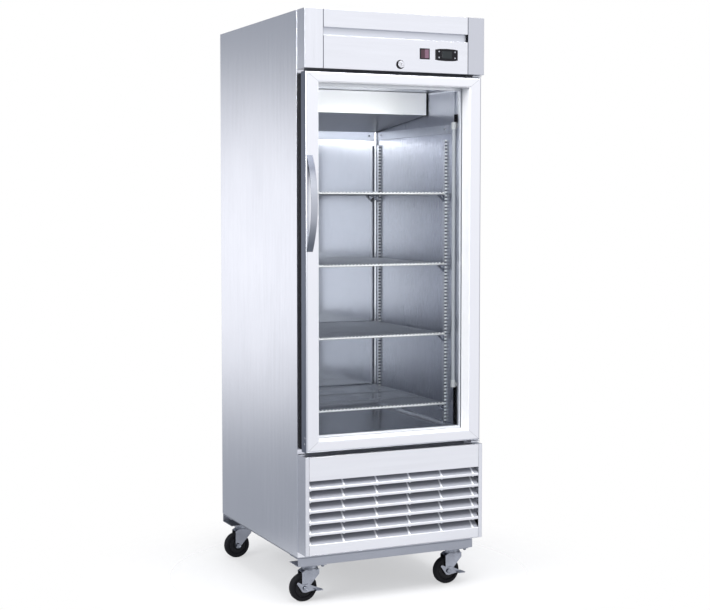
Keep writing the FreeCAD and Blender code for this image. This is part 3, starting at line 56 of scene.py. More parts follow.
class Surface:
    """A node material under construction: each call adds one node and returns its output socket."""

    def __init__(self, name):
        self.material = bpy.data.materials.new(name)
        self.material.use_nodes = True
        self.tree = self.material.node_tree
        self.tree.nodes.clear()
        self.place = self.node("ShaderNodeTexCoord").outputs["Object"]

    def node(self, kind, inputs=None, **settings):
        made = self.tree.nodes.new(kind)
        for key, setting in settings.items():
            setattr(made, key, setting)
        for key, given in (inputs or {}).items():
            if isinstance(given, bpy.types.NodeSocket):
                self.tree.links.new(given, made.inputs[key])
            else:
                made.inputs[key].default_value = given
        return made

    def math(self, operation, a, b=0.0):
        return self.node("ShaderNodeMath", {0: a, 1: b}, operation=operation).outputs[0]

    def axis(self, letter):
        """One coordinate of the place."""
        return self.node("ShaderNodeSeparateXYZ", {0: self.place}).outputs["XYZ".index(letter)]

    def noise(self, scale, stretch=(1, 1, 1), detail=3.0):
        """Noise of about `scale` features per metre, with each axis squeezed by its factor."""
        at = self.node("ShaderNodeMapping", {"Vector": self.place, "Scale": stretch}).outputs[0]
        made = self.node("ShaderNodeTexNoise", {"Vector": at, "Scale": scale, "Detail": detail})
        return made.outputs["Fac"]

    def span(self, source, low, high, to_low, to_high, smooth=False):
        """The source mapped from low..high to to_low..to_high, and held there."""
        made = self.node(
            "ShaderNodeMapRange",
            {"Value": source, "From Min": low, "From Max": high, "To Min": to_low, "To Max": to_high},
            interpolation_type="SMOOTHSTEP" if smooth else "LINEAR",
        )
        return made.outputs["Result"]

    def mix(self, share, first, second):
        """A value between two values."""
        return self.node("ShaderNodeMix", {0: share, 2: first, 3: second}).outputs[0]

    def blend(self, share, first, second):
        """A colour between two colours."""
        made = {key: given if isinstance(given, bpy.types.NodeSocket) else (*given, 1.0)
                for key, given in ((6, first), (7, second))}
        return self.node("ShaderNodeMix", {0: share, **made}, data_type="RGBA").outputs[2]

    def clouded(self, noise, first, second):
        """A colour that drifts between two with a noise."""
        return self.blend(self.span(noise, 0.3, 0.7, 0, 1), first, second)

    def bump(self, height, strength, depth, normal=None):
        given = {"Height": height, "Strength": strength, "Distance": depth}
        if normal is not None:
            given["Normal"] = normal
        return self.node("ShaderNodeBump", given).outputs[0]

    def soft_edges(self, radius):
        """The normal with every edge rounded to a radius."""
        return self.node("ShaderNodeBevel", {"Radius": radius}, samples=4).outputs[0]

    def finish(self, shader):
        self.node("ShaderNodeOutputMaterial", {"Surface": shader})
        return self.material

    def principled(self, **inputs):
        """Finish with a Principled shader, its sockets named in lower case with underscores."""
        names = {key.replace("_", " ").title().replace("Ior", "IOR"): given for key, given in inputs.items()}
        for key, given in names.items():
            if "Color" in key and not isinstance(given, bpy.types.NodeSocket):
                names[key] = (*given, 1.0)
        return self.finish(self.node("ShaderNodeBsdfPrincipled", names).outputs[0])


def shade(colour, factor):
    """A colour with each channel scaled."""
    return tuple(channel * factor for channel in colour)


def brushed(name, colour, grain, roughness, spread=0.05, grain_depth=0.1, metal=1.0, areas=()):
    """Sheet steel with a fine grain along one axis, faint clouding and softened folds.

    Each area is (a function that makes its share from the surface, its colour, its roughness, how metallic).
    """
    s = Surface(name)
    fine = s.noise(1400, [0.012 if letter == grain else 1.0 for letter in "XYZ"], detail=2)
    bands = s.noise(60, [0.05 if letter == grain else 1.0 for letter in "XYZ"])
    clouds = s.noise(3.2, detail=2)
    dark = shade(colour, 0.95)
    toned = s.clouded(bands, dark, colour)
    toned = s.clouded(clouds, s.blend(0.5, toned, dark), toned)
    rough = s.math("ADD", s.span(fine, 0.25, 0.75, roughness - spread, roughness + spread),
                   s.span(clouds, 0.3, 0.7, -0.4 * spread, 0.4 * spread))
    for share_of, area_colour, area_roughness, *area_metal in areas:
        share = share_of(s)
        toned = s.blend(share, toned, area_colour)
        rough = s.mix(share, rough, area_roughness)
        target = area_metal[0] if area_metal else 1.0
        if metal != target:
            metal = s.mix(share, metal, target)
    normal = s.bump(fine, grain_depth, 0.0001, s.soft_edges(0.0015))
    return s.principled(base_color=toned, metallic=metal, roughness=rough, normal=normal)


def plain_metal(name, colour, roughness, tone=0.12, bump=0.1):
    """Cast, plated or drawn metal with an even fine mottle."""
    s = Surface(name)
    mottle = s.noise(260, detail=4)
    toned = s.clouded(s.noise(22), shade(colour, 1 - tone), colour)
    rough = s.span(mottle, 0.3, 0.7, roughness - 0.06, roughness + 0.06)
    normal = s.bump(mottle, bump, 0.0002, s.soft_edges(0.0006))
    return s.principled(base_color=toned, metallic=1.0, roughness=rough, normal=normal)


def galvanised(name, colour, roughness):
    """Zinc-coated sheet with its spangle of crystals."""
    s = Surface(name)
    crystals = s.node("ShaderNodeTexVoronoi", {"Vector": s.place, "Scale": 150.0})
    sparkle = s.node("ShaderNodeSeparateColor", {0: crystals.outputs["Color"]}).outputs[0]
    toned = s.blend(sparkle, shade(colour, 0.84), colour)
    rough = s.span(sparkle, 0, 1, roughness - 0.07, roughness + 0.07)
    normal = s.bump(s.noise(500), 0.08, 0.0002, s.soft_edges(0.0008))
    return s.principled(base_color=toned, metallic=1.0, roughness=rough, normal=normal)


def moulded(name, colour, roughness, texture=900, depth=0.06, coat=0.0, tone=0.08, gloss=0.5):
    """Moulded plastic or rubber with a fine surface texture."""
    s = Surface(name)
    pits = s.noise(texture)
    toned = s.clouded(s.noise(14), shade(colour, 1 - tone), colour)
    rough = s.span(pits, 0.3, 0.7, roughness - 0.04, roughness + 0.04)
    normal = s.bump(pits, depth, 0.0002, s.soft_edges(0.0006))
    return s.principled(base_color=toned, roughness=rough, normal=normal,
                        specular_ior_level=gloss, coat_weight=coat)


def clear_glass(name, tint, reflectance_ior):
    """A clear pane: sight and light pass straight through, and its faces reflect by Fresnel."""
    s = Surface(name)
    haze = s.noise(7)
    through = s.node("ShaderNodeBsdfTransparent", {"Color": (*tint, 1.0)}).outputs[0]
    gloss = s.node("ShaderNodeBsdfGlossy", {"Roughness": s.span(haze, 0.3, 0.7, 0.0, 0.03)}).outputs[0]
    share = s.node("ShaderNodeFresnel", {"IOR": reflectance_ior}).outputs[0]
    return s.finish(s.node("ShaderNodeMixShader", {0: share, 1: through, 2: gloss}).outputs[0])


def finned(name, colour, pitch):
    """A block of thin fins on edge along X, with painted shade between them."""
    s = Surface(name)
    wave = s.math("FRACT", s.math("DIVIDE", s.axis("X"), pitch))
    edge = s.span(s.math("ABSOLUTE", s.math("SUBTRACT", wave, 0.5)), 0.2, 0.35, 0, 1)
    # painted shade: darkened in the middle of each pitch, between the fins
    toned = s.blend(edge, shade(colour, 0.12), colour)
    normal = s.bump(edge, 0.6, 0.001)
    rough = s.span(s.noise(400), 0.3, 0.7, 0.35, 0.5)
    return s.principled(base_color=toned, metallic=0.9, roughness=rough, normal=normal)


def glowing_tube(name, colour, strength):
    """The opal tube of the lamp, faintly lit."""
    s = Surface(name)
    toned = s.clouded(s.noise(30, (1, 1, 0.2)), shade(colour, 0.95), colour)
    rough = s.span(s.noise(300), 0.3, 0.7, 0.12, 0.2)
    return s.principled(base_color=toned, roughness=rough, coat_weight=0.4,
                        emission_color=colour, emission_strength=strength)


def door_frame_metal(name, rail_colour, stile_colour, roughness):
    """Satin aluminium members: the grain runs along each one and turns at the mitred corners."""
    low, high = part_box("door_frame")
    inner_low, inner_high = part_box("door_surround")
    s = Surface(name)
    x, z = s.axis("X"), s.axis("Z")

    def depth(coordinate, edge, inner_edge):
        """How far a point lies from the frame's outer edge, as a share of the member's width."""
        return s.math("DIVIDE", s.math("SUBTRACT", coordinate, edge), inner_edge - edge)

    across = s.math("MINIMUM", depth(x, low.x, inner_low.x), depth(x, high.x, inner_high.x))
    upright = s.math("MINIMUM", depth(z, low.z, inner_low.z), depth(z, high.z, inner_high.z))
    turn = s.math("SUBTRACT", across, upright)
    is_rail = s.span(turn, -0.004, 0.004, 0, 1)
    along_rail, along_stile = s.noise(1200, (0.012, 1, 1), 2), s.noise(1200, (1, 1, 0.012), 2)
    grain = s.mix(is_rail, along_stile, along_rail)
    joint = s.span(s.math("ABSOLUTE", turn), 0.008, 0.03, 0, 1)
    toned = s.blend(is_rail, stile_colour, rail_colour)
    # painted shade: the frame's outer side face is coloured dark slate
    shaded_outer_side = s.span(x, low.x, low.x + 0.0012, 1, 0)
    toned = s.blend(shaded_outer_side, toned, (0.16, 0.18, 0.23))
    toned = s.blend(joint, shade(stile_colour, 0.6), toned)
    rough = s.span(grain, 0.25, 0.75, roughness - 0.05, roughness + 0.05)
    normal = s.bump(s.math("ADD", grain, s.math("MULTIPLY", joint, 2.0)), 0.1, 0.0002, s.soft_edges(0.001))
    return s.principled(base_color=toned, metallic=1.0, roughness=rough, normal=normal)


def rocker_plastic():
    """Dark red plastic, with a painted highlight: paler on the half of the rocker that leans out."""
    low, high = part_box("rocker_switch")
    s = Surface("rocker_plastic")
    middle = (low.x + high.x) / 2
    # painted highlight on the half of the rocker that leans out
    painted_lit_half = s.span(s.axis("X"), middle, middle + 0.001, 0, 1)
    toned = s.blend(painted_lit_half, (0.04, 0.011, 0.02), (0.17, 0.09, 0.13))
    toned = s.blend(s.span(s.noise(40), 0.3, 0.7, 0, 0.25), toned, (0.03, 0.01, 0.02))
    normal = s.bump(s.noise(900), 0.05, 0.0002, s.soft_edges(0.001))
    rough = s.span(s.noise(500), 0.3, 0.7, 0.16, 0.24)
    return s.principled(base_color=toned, roughness=rough, normal=normal, coat_weight=0.3)


def beyond(letter, edge, soft):
    """An area on the high side of a coordinate, or on the low side where the softness is negative."""
    return lambda s: s.span(s.axis(letter), edge, edge + soft, 0, 1)


def line_at(letter, centre, half):
    """A thin line across an axis."""
    def made(s):
        distance = s.math("ABSOLUTE", s.math("SUBTRACT", s.axis(letter), centre))
        return s.span(distance, half, 1.6 * half, 1, 0)
    return made


def dashes(letter, first, pitch, share):
    """Even bars across an axis, one of them centred on the first place."""
    def made(s):
        steps = s.math("ADD", s.math("DIVIDE", s.math("SUBTRACT", s.axis(letter), first), pitch), 100.5)
        distance = s.math("ABSOLUTE", s.math("SUBTRACT", s.math("FRACT", steps), 0.5))
        half, soft = share / 2, 0.1 * share
        return s.span(distance, half - soft, half + soft, 1, 0)
    return made


def both(first, second):
    """The area where both areas meet."""
    return lambda s: s.math("MULTIPLY", first(s), second(s))


def either(first, second):
    """The area that either area covers."""
    return lambda s: s.math("MAXIMUM", first(s), second(s))


STEEL = (0.80, 0.815, 0.855)
WHITE = (1.0, 1.0, 1.0)
SHADOW_BLACK = (0.02, 0.02, 0.025)

# The look of each of the frame's material slots.
MATERIALS = {
    "stainless_skin": brushed("skin_steel", STEEL, "Z", 0.19, spread=0.03),
    "galvanised": galvanised("galvanised_sheet", (0.70, 0.72, 0.76), 0.38),
    "foam": moulded("rigid_foam", (0.80, 0.72, 0.50), 0.85, texture=300, depth=0.3),
    "breaker": moulded("breaker_plastic", (0.30, 0.31, 0.35), 0.4),
    "black_plastic": moulded("black_plastic", (0.006, 0.006, 0.008), 0.22, gloss=0.2),
    "grey_plastic": moulded("grey_plastic", (0.42, 0.43, 0.46), 0.42),
    "chrome": plain_metal("polished_chrome", (0.78, 0.79, 0.83), 0.14, bump=0.03),
    "aluminium_frame": door_frame_metal("satin_aluminium", (0.86, 0.87, 0.90), (0.84, 0.85, 0.885),
                                        0.33),
    "white_surround": moulded("white_surround", (0.9, 0.905, 0.92), 0.3, coat=0.2, tone=0.03),
    "glass": clear_glass("pane_glass", (0.985, 0.99, 0.99), 1.08),
    "gasket": moulded("gasket_rubber", (0.012, 0.012, 0.015), 0.7, gloss=0.2),
    "fins": finned("fin_stack", (0.66, 0.68, 0.7), 0.0021),
    "dark_metal": moulded("dark_enamel", (0.008, 0.008, 0.009), 0.4, gloss=0.3),
    "lamp": glowing_tube("lamp_tube", (0.62, 0.64, 0.68), 0.05),
    "white_plastic": moulded("white_plastic", (0.85, 0.85, 0.86), 0.32),
    "zinc": plain_metal("bright_zinc", (0.36, 0.38, 0.43), 0.2, tone=0.3),
    "copper": plain_metal("copper_tube", (0.80, 0.42, 0.26), 0.25),
    "tyre": moulded("tyre_rubber", (0.006, 0.006, 0.008), 0.7, texture=1500, depth=0.12, gloss=0.2),
}

# The fascia, with dark seams at the centre panel's ends and painted shade in its recess.
FASCIA_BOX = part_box("fascia_panel")
SEAMS = tuple((line_at("X", edge, 0.0011), (0.10, 0.11, 0.14), 0.5)
              for edge in (FASCIA_BOX[0].x - 0.0004, FASCIA_BOX[1].x + 0.0004))
# painted shade: the recess behind the fascia's face is coloured dimmer
FASCIA_RECESS_SHADE = (beyond("Y", FASCIA_BOX[0].y + 0.0006, 0.004), (0.62, 0.64, 0.69), 0.4)
SIDEWAYS_STEEL = brushed("fascia_steel", STEEL, "X", 0.2, spread=0.03, areas=(FASCIA_RECESS_SHADE, *SEAMS))
# painted shade: the right-hand post is coloured darker than the left
POST_STEEL = brushed("post_steel", STEEL, "Z", 0.22, spread=0.03,
                     areas=((beyond("X", 0.0, 0.01), (0.56, 0.575, 0.62), 0.24), *SEAMS))

# The lower box: bright lips, slopes painted dim as shade with webs between the uprights painted paler as
# highlight, and a painted dark shadow in the depth.
GRILLE_STEEL = brushed("grille_steel", (0.72, 0.735, 0.78), "X", 0.22, spread=0.03)
LOUVRE_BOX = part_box("louvre_panel")
SHADED_SLOPES = beyond("Y", LOUVRE_BOX[0].y + 0.0009, 0.0006)
LIT_WEBS = dashes("X", -0.330, 0.1284, 0.055)
# painted light: shade on the slopes, highlight on the webs and near-black shadow in the depth
LOUVRE_STEEL = brushed("louvre_steel", (0.90, 0.91, 0.94), "X", 0.42,
                       areas=((SHADED_SLOPES, (0.30, 0.31, 0.35), 0.5, 0.15),
                              (both(SHADED_SLOPES, LIT_WEBS), (0.80, 0.81, 0.85), 0.4, 0.15),
                              (beyond("Y", LOUVRE_BOX[0].y + 0.0295, 0.005), (0.03, 0.032, 0.04), 0.6)))

# The shelf uprights: their front faces are painted bright as a highlight, with a dark slot painted every
# half inch as the shade inside the slots.
SLOT_PITCH = 0.0127
LIT_UPRIGHT_FRONTS = either(line_at("Y", -0.222, 0.0006), line_at("Y", 0.344, 0.0006))
SHADED_UPRIGHT_SLOTS = both(LIT_UPRIGHT_FRONTS, dashes("Z", 0.6, SLOT_PITCH, 0.42))
# painted highlight on the front faces, painted shade at the slots
UPRIGHT_STEEL = brushed("upright_steel", (0.66, 0.68, 0.74), "Z", 0.35,
                        areas=((LIT_UPRIGHT_FRONTS, WHITE, 0.35, 0.3),
                               (SHADED_UPRIGHT_SLOTS, (0.16, 0.17, 0.20), 0.5)))

# The cooling unit's cover and the liner, with painted light: brighter at the front face, the drain strip and
# the back wall, and painted shade on the rest of the cover and at the liner's floor.
COVER_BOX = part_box("evaporator_cover")
# painted highlight on the cover's front face and drain strip, painted shade on its other faces
COVER_STEEL = brushed("cover_steel", (0.40, 0.42, 0.48), "X", 0.3, spread=0.02, grain_depth=0.01,
                      areas=((beyond("Y", COVER_BOX[0].y + 0.0012, -0.0006), WHITE, 0.3, 0.25),
                             (beyond("Y", COVER_BOX[1].y - 0.010, 0.001), (0.80, 0.82, 0.88), 0.3)))
LINER_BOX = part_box("inner_liner")
# painted light on the back wall, painted shade at the liner's floor
LINER_STEEL = brushed("liner_steel", (0.52, 0.54, 0.61), "Z", 0.28, spread=0.02, grain_depth=0.01,
                      areas=((beyond("Y", LINER_BOX[1].y - 0.014, 0.010), (0.99, 0.99, 1.0), 0.12),
                             (beyond("Z", LINER_BOX[0].z + 0.016, -0.010), (0.40, 0.42, 0.47), 0.25)))

# The shelves: the front rim and the bent wire ends are painted bright as a highlight, against wires behind
# them painted dark as shade.
SHELF_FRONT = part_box("wire_shelf_1")[0].y
# painted highlight on the front rim, painted shade on the wires behind
SHELF_STEEL = brushed("shelf_steel", (0.34, 0.36, 0.41), "Y", 0.4,
                      areas=((beyond("Y", SHELF_FRONT + 0.0040, -0.0008), WHITE, 0.3, 0.3),))
# painted highlight: the wire ends are coloured white
WIRE_END_LIT = brushed("wire_end_lit_steel", WHITE, "Y", 0.3, metal=0.3)

# The lamp's channel, with painted shadow next to the upper end of the tube and below its lower end.
CAPS_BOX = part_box("lamp_end_caps")
SHADOW_ABOVE_LAMP = both(beyond("Z", CAPS_BOX[1].z - 0.002, 0.001), beyond("Z", CAPS_BOX[1].z + 0.030, -0.001))
SHADOW_BELOW_LAMP = beyond("Z", CAPS_BOX[0].z + 0.002, -0.001)
# painted shadow: near black above the tube's upper end and below its lower end
CHANNEL_STEEL = brushed("channel_steel", (0.62, 0.64, 0.70), "Z", 0.35,
                        areas=((either(SHADOW_ABOVE_LAMP, SHADOW_BELOW_LAMP), SHADOW_BLACK, 0.5),))

# The handle is painted darker towards its ends, as shade.
HANDLE_STEEL = brushed("handle_steel", (0.50, 0.52, 0.57), "Z", 0.42, spread=0.03,
                       areas=((beyond("Z", 1.46, 0.06), (0.13, 0.14, 0.17), 0.5),
                              (beyond("Z", 1.34, -0.08), (0.24, 0.26, 0.30), 0.5)))

RAIL_STEEL = brushed("rail_steel", (0.40, 0.42, 0.47), "X", 0.4)
BUTTON_GREY = moulded("button_grey", (0.30, 0.31, 0.34), 0.35)
DISPLAY = moulded("display_window", (0.016, 0.02, 0.022), 0.12, gloss=0.3)
KEYHOLE = moulded("keyhole_shadow", (0.004, 0.004, 0.005), 0.6)
# painted shade for the cross recesses of the screw heads
CROSS_RECESS_SHADE = moulded("driver_recess_shade", (0.03, 0.03, 0.035), 0.5)


# Nodes with a finish of their own. The others wear the look of their slot.
OWN_FINISH = {
    "fascia_panel": SIDEWAYS_STEEL,
    "fascia_end_posts": POST_STEEL,
    "grille_frame": GRILLE_STEEL,
    "louvre_panel": LOUVRE_STEEL,
    "pilasters": UPRIGHT_STEEL,
    "evaporator_cover": COVER_STEEL,
    "inner_liner": LINER_STEEL,
    "wire_shelf_1": SHELF_STEEL,
    "wire_shelf_2": SHELF_STEEL,
    "wire_shelf_3": SHELF_STEEL,
    "wire_shelf_4": SHELF_STEEL,
    "lamp_channel": CHANNEL_STEEL,
    "door_handle": HANDLE_STEEL,
    "base_rails": RAIL_STEEL,
    "base_pan": RAIL_STEEL,
    "rocker_switch": rocker_plastic(),
    "controller_button_set": BUTTON_GREY,
    "controller_button_light": BUTTON_GREY,
    "controller_button_up": BUTTON_GREY,
    "controller_button_down": BUTTON_GREY,
}

SLOT_OF = {part["node"]: part["material_slot"] for part in frame["record"]["subparts"]}

for node_name, node_object in frame["nodes"].items():
    node_object.data.materials.clear()
    finish = OWN_FINISH.get(node_name) or MATERIALS[SLOT_OF[node_name]]
    node_object.data.materials.append(finish)


# ---------------------------------------------------------------- added pieces


def new_piece(name, mesh, body, *materials):
    """The built mesh as an object with shared-edge shading, riding on a CAD body."""
    bmesh.ops.recalc_face_normals(mesh, faces=mesh.faces)
    data = bpy.data.meshes.new(name)
    mesh.to_mesh(data)
    mesh.free()
    for material in materials:
        data.materials.append(material)
    data.shade_smooth()
    data.set_sharp_from_angle(angle=math.radians(38))
    piece = bpy.data.objects.new(name, data)
    bpy.context.scene.collection.objects.link(piece)
    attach(piece, body)
    return piece


def basis(at, facing, turn=0.0):
    """A frame at a point whose Z runs along a direction, turned about it."""
    rotation = Vector(facing).to_track_quat("Z", "Y").to_matrix().to_4x4()
    return Matrix.Translation(Vector(at)) @ rotation @ Matrix.Rotation(turn, 4, "Z")


def lathe(mesh, frame_at, profile, segments=24, material=0):
    """A turned shape: (radius, height) points revolved about the frame's Z."""
    rings = []
    for radius, height in profile:
        if radius < 1e-7:
            rings.append([mesh.verts.new(frame_at @ Vector((0, 0, height)))])
            continue
        loop = []
        for step in range(segments):
            angle = 2 * math.pi * step / segments
            spot = Vector((radius * math.cos(angle), radius * math.sin(angle), height))
            loop.append(mesh.verts.new(frame_at @ spot))
        rings.append(loop)
    for near, far in zip(rings, rings[1:]):
        for step in range(segments):
            after = (step + 1) % segments
            corners = (near[step % len(near)], near[after % len(near)],
                       far[after % len(far)], far[step % len(far)])
            unique = list(dict.fromkeys(corners))
            if len(unique) > 2:
                mesh.faces.new(unique).material_index = material


def prism(mesh, frame_at, outline, low, high, chamfer=0.0, material=0):
    """An outline in the frame's XY plane raised from low to high, with a chamfered upper edge."""
    middle = Vector((sum(x for x, _ in outline), sum(y for _, y in outline))) / len(outline)
    widest = max((Vector(point) - middle).length for point in outline)
    levels = [(1.0, low), (1.0, high - chamfer), (1.0 - chamfer / widest, high)]
    rings = []
    for scale, height in levels:
        loop = []
        for point in outline:
            flat = middle + (Vector(point) - middle) * scale
            loop.append(mesh.verts.new(frame_at @ Vector((flat.x, flat.y, height))))
        rings.append(loop)
    count = len(outline)
    for near, far in zip(rings, rings[1:]):
        for index in range(count):
            after = (index + 1) % count
            side = mesh.faces.new((near[index], near[after], far[after], far[index]))
            side.material_index = material
    mesh.faces.new(list(reversed(rings[0]))).material_index = material
    mesh.faces.new(rings[-1]).material_index = material


def regular(sides, radius):
    """The outline of a regular polygon."""
    turns = [2 * math.pi * k / sides for k in range(sides)]
    return [(radius * math.cos(turn), radius * math.sin(turn)) for turn in turns]


def rounded(width, height, radius, steps=5):
    """The outline of a rectangle with rounded corners, about its middle."""
    points = []
    for quarter, (sx, sy) in enumerate(((1, 1), (-1, 1), (-1, -1), (1, -1))):
        for step in range(steps + 1):
            angle = math.pi / 2 * (quarter + step / steps)
            points.append((sx * (width / 2 - radius) + radius * math.cos(angle),
                           sy * (height / 2 - radius) + radius * math.sin(angle)))
    return points


def swept(mesh, path, radius, sides=8):
    """A round wire along a path, closed at both ends."""
    rings = []
    for index, point in enumerate(path):
        before, after = path[max(index - 1, 0)], path[min(index + 1, len(path) - 1)]
        at = basis(point, (Vector(after) - Vector(before)).normalized())
        rings.append([mesh.verts.new(at @ Vector((x, y, 0))) for x, y in regular(sides, radius)])
    for near, far in zip(rings, rings[1:]):
        best = min(range(sides), key=lambda k: (far[k].co - near[0].co).length)
        for step in range(sides):
            after = (step + 1) % sides
            mesh.faces.new((near[step], near[after],
                            far[(after + best) % sides], far[(step + best) % sides]))
    mesh.faces.new(list(reversed(rings[0])))
    mesh.faces.new(rings[-1])


def pan_screw(mesh, at, facing, radius, turn=0.3):
    """A domed screw head with a cross recess; the second material paints shade into the recess."""
    place = basis(at, facing, turn)
    lathe(mesh, place, ((radius, 0), (radius, 0.22 * radius), (0.86 * radius, 0.42 * radius),
                        (0.55 * radius, 0.56 * radius), (0, 0.62 * radius)), 20)
    arm, reach = 0.14 * radius, 0.5 * radius
    cross = [(arm, arm), (arm, reach), (-arm, reach), (-arm, arm), (-reach, arm), (-reach, -arm),
             (-arm, -arm), (-arm, -reach), (arm, -reach), (arm, -arm), (reach, -arm), (reach, arm)]
    prism(mesh, place, cross, 0.3 * radius, 0.66 * radius, 0.0, 1)


def hex_bolt(mesh, at, facing, radius, height, turn=0.2):
    """A hexagon head on its washer."""
    place = basis(at, facing, turn)
    washer = ((0, 0), (1.35 * radius, 0), (1.35 * radius, 0.2 * height), (radius, 0.24 * height))
    lathe(mesh, place, washer, 24)
    prism(mesh, place, regular(6, radius), 0.1 * height, height, 0.12 * radius)


def wire_ends():
    """The ends of the thin wires, each bent down over the front rim of its shelf."""
    rim, wire, count, turns = 3.2 * MM, 1.5 * MM, 40, 7
    for level in range(1, 5):
        low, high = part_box(f"wire_shelf_{level}")
        rim_y, rim_z = low.y + rim, low.z + rim
        first = low.x + 2 * rim + wire
        pitch = (high.x - low.x - 2 * (2 * rim + wire)) / (count - 1)
        mesh = bmesh.new()
        for index in range(count):
            x = first + index * pitch
            path = [(x, rim_y + 4 * MM, rim_z + rim + 0.4 * MM)]
            for step in range(turns + 1):
                angle = math.radians(90 + 75 * step / turns)
                reach = rim + 1.8 * MM
                path.append((x, rim_y + reach * math.cos(angle), rim_z + reach * math.sin(angle)))
            swept(mesh, path, 1.6 * wire)
        piece = new_piece(f"wire_ends_{level}", mesh, f"shelf_{level}", WIRE_END_LIT)


def fixings():
    """Screws on the cooling unit's cover, the ledges, the hinge brackets and the door's foot."""
    steel = MATERIALS["chrome"]
    low, high = COVER_BOX
    strip_x, underside_x, wall_x = 262 * MM, 199.12 * MM, 293 * MM
    strip_z, underside_z = 1.677, 1.7352
    mesh = bmesh.new()
    for side in (-1, 1):
        pan_screw(mesh, (side * strip_x, high.y - 7 * MM, strip_z), (0, -1, 0), 4 * MM)
        pan_screw(mesh, (side * underside_x, low.y + 16 * MM, underside_z), (0, 0, -1), 4 * MM)
        for y in (0.325, -0.215):
            pan_screw(mesh, (side * wall_x, y, strip_z), (-side, 0, 0), 4 * MM)
    new_piece("cover_screws", mesh, "cabinet", steel, CROSS_RECESS_SHADE)
    mesh = bmesh.new()
    for x in (0.318, 0.338):
        for z in (1.872, 0.512):
            pan_screw(mesh, (x, -0.342, z), (0, -1, 0), 4.5 * MM)
    new_piece("hinge_screws", mesh, "cabinet", steel, CROSS_RECESS_SHADE)
    mesh = bmesh.new()
    for y, z in ((-0.3892, 0.5937), (-0.3873, 0.5726)):
        pan_screw(mesh, (-0.343, y, z), (-1, 0, 0), 2.6 * MM)
    new_piece("door_foot_screws", mesh, "door", steel, CROSS_RECESS_SHADE)


def lock_details():
    """The ring behind the lock's head, the ring on its face and the dark of its keyway."""
    x, z = 0.013, 1.887
    mesh = bmesh.new()
    lathe(mesh, basis((x, FASCIA_BOX[0].y, z), (0, -1, 0)), (
        (0.0122, 0), (0.0158, 0), (0.0158, 0.0012), (0.0148, 0.0022), (0.0130, 0.0024), (0.0122, 0.0016),
        (0.0122, 0)), 40)
    new_piece("lock_ring", mesh, "cabinet", MATERIALS["black_plastic"])
    mesh = bmesh.new()
    place = basis((x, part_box("lock_cylinder")[0].y, z), (0, -1, 0))
    slot = [(-0.0010, -0.0043), (0.0010, -0.0043), (0.0010, 0.0043), (-0.0010, 0.0043)]
    prism(mesh, place, slot, -0.0050, -0.0012)
    new_piece("keyway_shadow", mesh, "lock", KEYHOLE)
    mesh = bmesh.new()
    lathe(mesh, place, (
        (0.0088, 0), (0.0100, 0.0004), (0.0112, 0.0002), (0.0116, -0.0004), (0.0088, -0.0004),
        (0.0088, 0)), 40)
    new_piece("lock_face_ring", mesh, "lock", MATERIALS["chrome"])


def controller_display():
    """The dim display window, and a collar round each button of the controller."""
    low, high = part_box("controller_housing")
    x, z = (low.x + high.x) / 2, (low.z + high.z) / 2
    button_x, button_z = 32 * MM, 10.5 * MM
    mesh = bmesh.new()
    place = basis((x, low.y + 0.0006, z), (0, -1, 0))
    prism(mesh, place, rounded(0.0405, 0.0262, 0.002), 0.0, 0.0009, 0.0004)
    new_piece("display_window", mesh, "cabinet", DISPLAY)
    mesh = bmesh.new()
    for sx in (-1, 1):
        for sz in (-1, 1):
            at = basis((x + sx * button_x, low.y, z + sz * button_z), (0, -1, 0))
            lathe(mesh, at, ((0.0031, -0.0004), (0.0031, 0.0003), (0.0036, 0.0005), (0.0041, 0.0002),
                             (0.0041, -0.0004), (0.0031, -0.0004)), 24)
    new_piece("button_collars", mesh, "cabinet", MATERIALS["black_plastic"])


def gasket_bellows():
    """The folded outer flank of the magnetic gasket, on all four sides of the door."""
    low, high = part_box("door_gasket")
    depth = high.y - low.y
    # how far each fold stands out, and its share of the gasket's depth
    fold = ((0.0, 0.02), (0.0022, 0.16), (0.0004, 0.32), (0.0026, 0.5),
            (0.0004, 0.68), (0.0022, 0.84), (0.0, 0.96))
    mesh = bmesh.new()
    rings = []
    for out, share in fold:
        y = low.y + share * depth
        rings.append([mesh.verts.new((x, y, z)) for x, z in (
            (low.x - out, low.z - out), (high.x + out, low.z - out),
            (high.x + out, high.z + out), (low.x - out, high.z + out))])
    for near, far in zip(rings, rings[1:] + rings[:1]):
        for index in range(4):
            after = (index + 1) % 4
            mesh.faces.new((near[index], near[after], far[after], far[index]))
    piece = new_piece("gasket_bellows", mesh, "door", MATERIALS["gasket"])


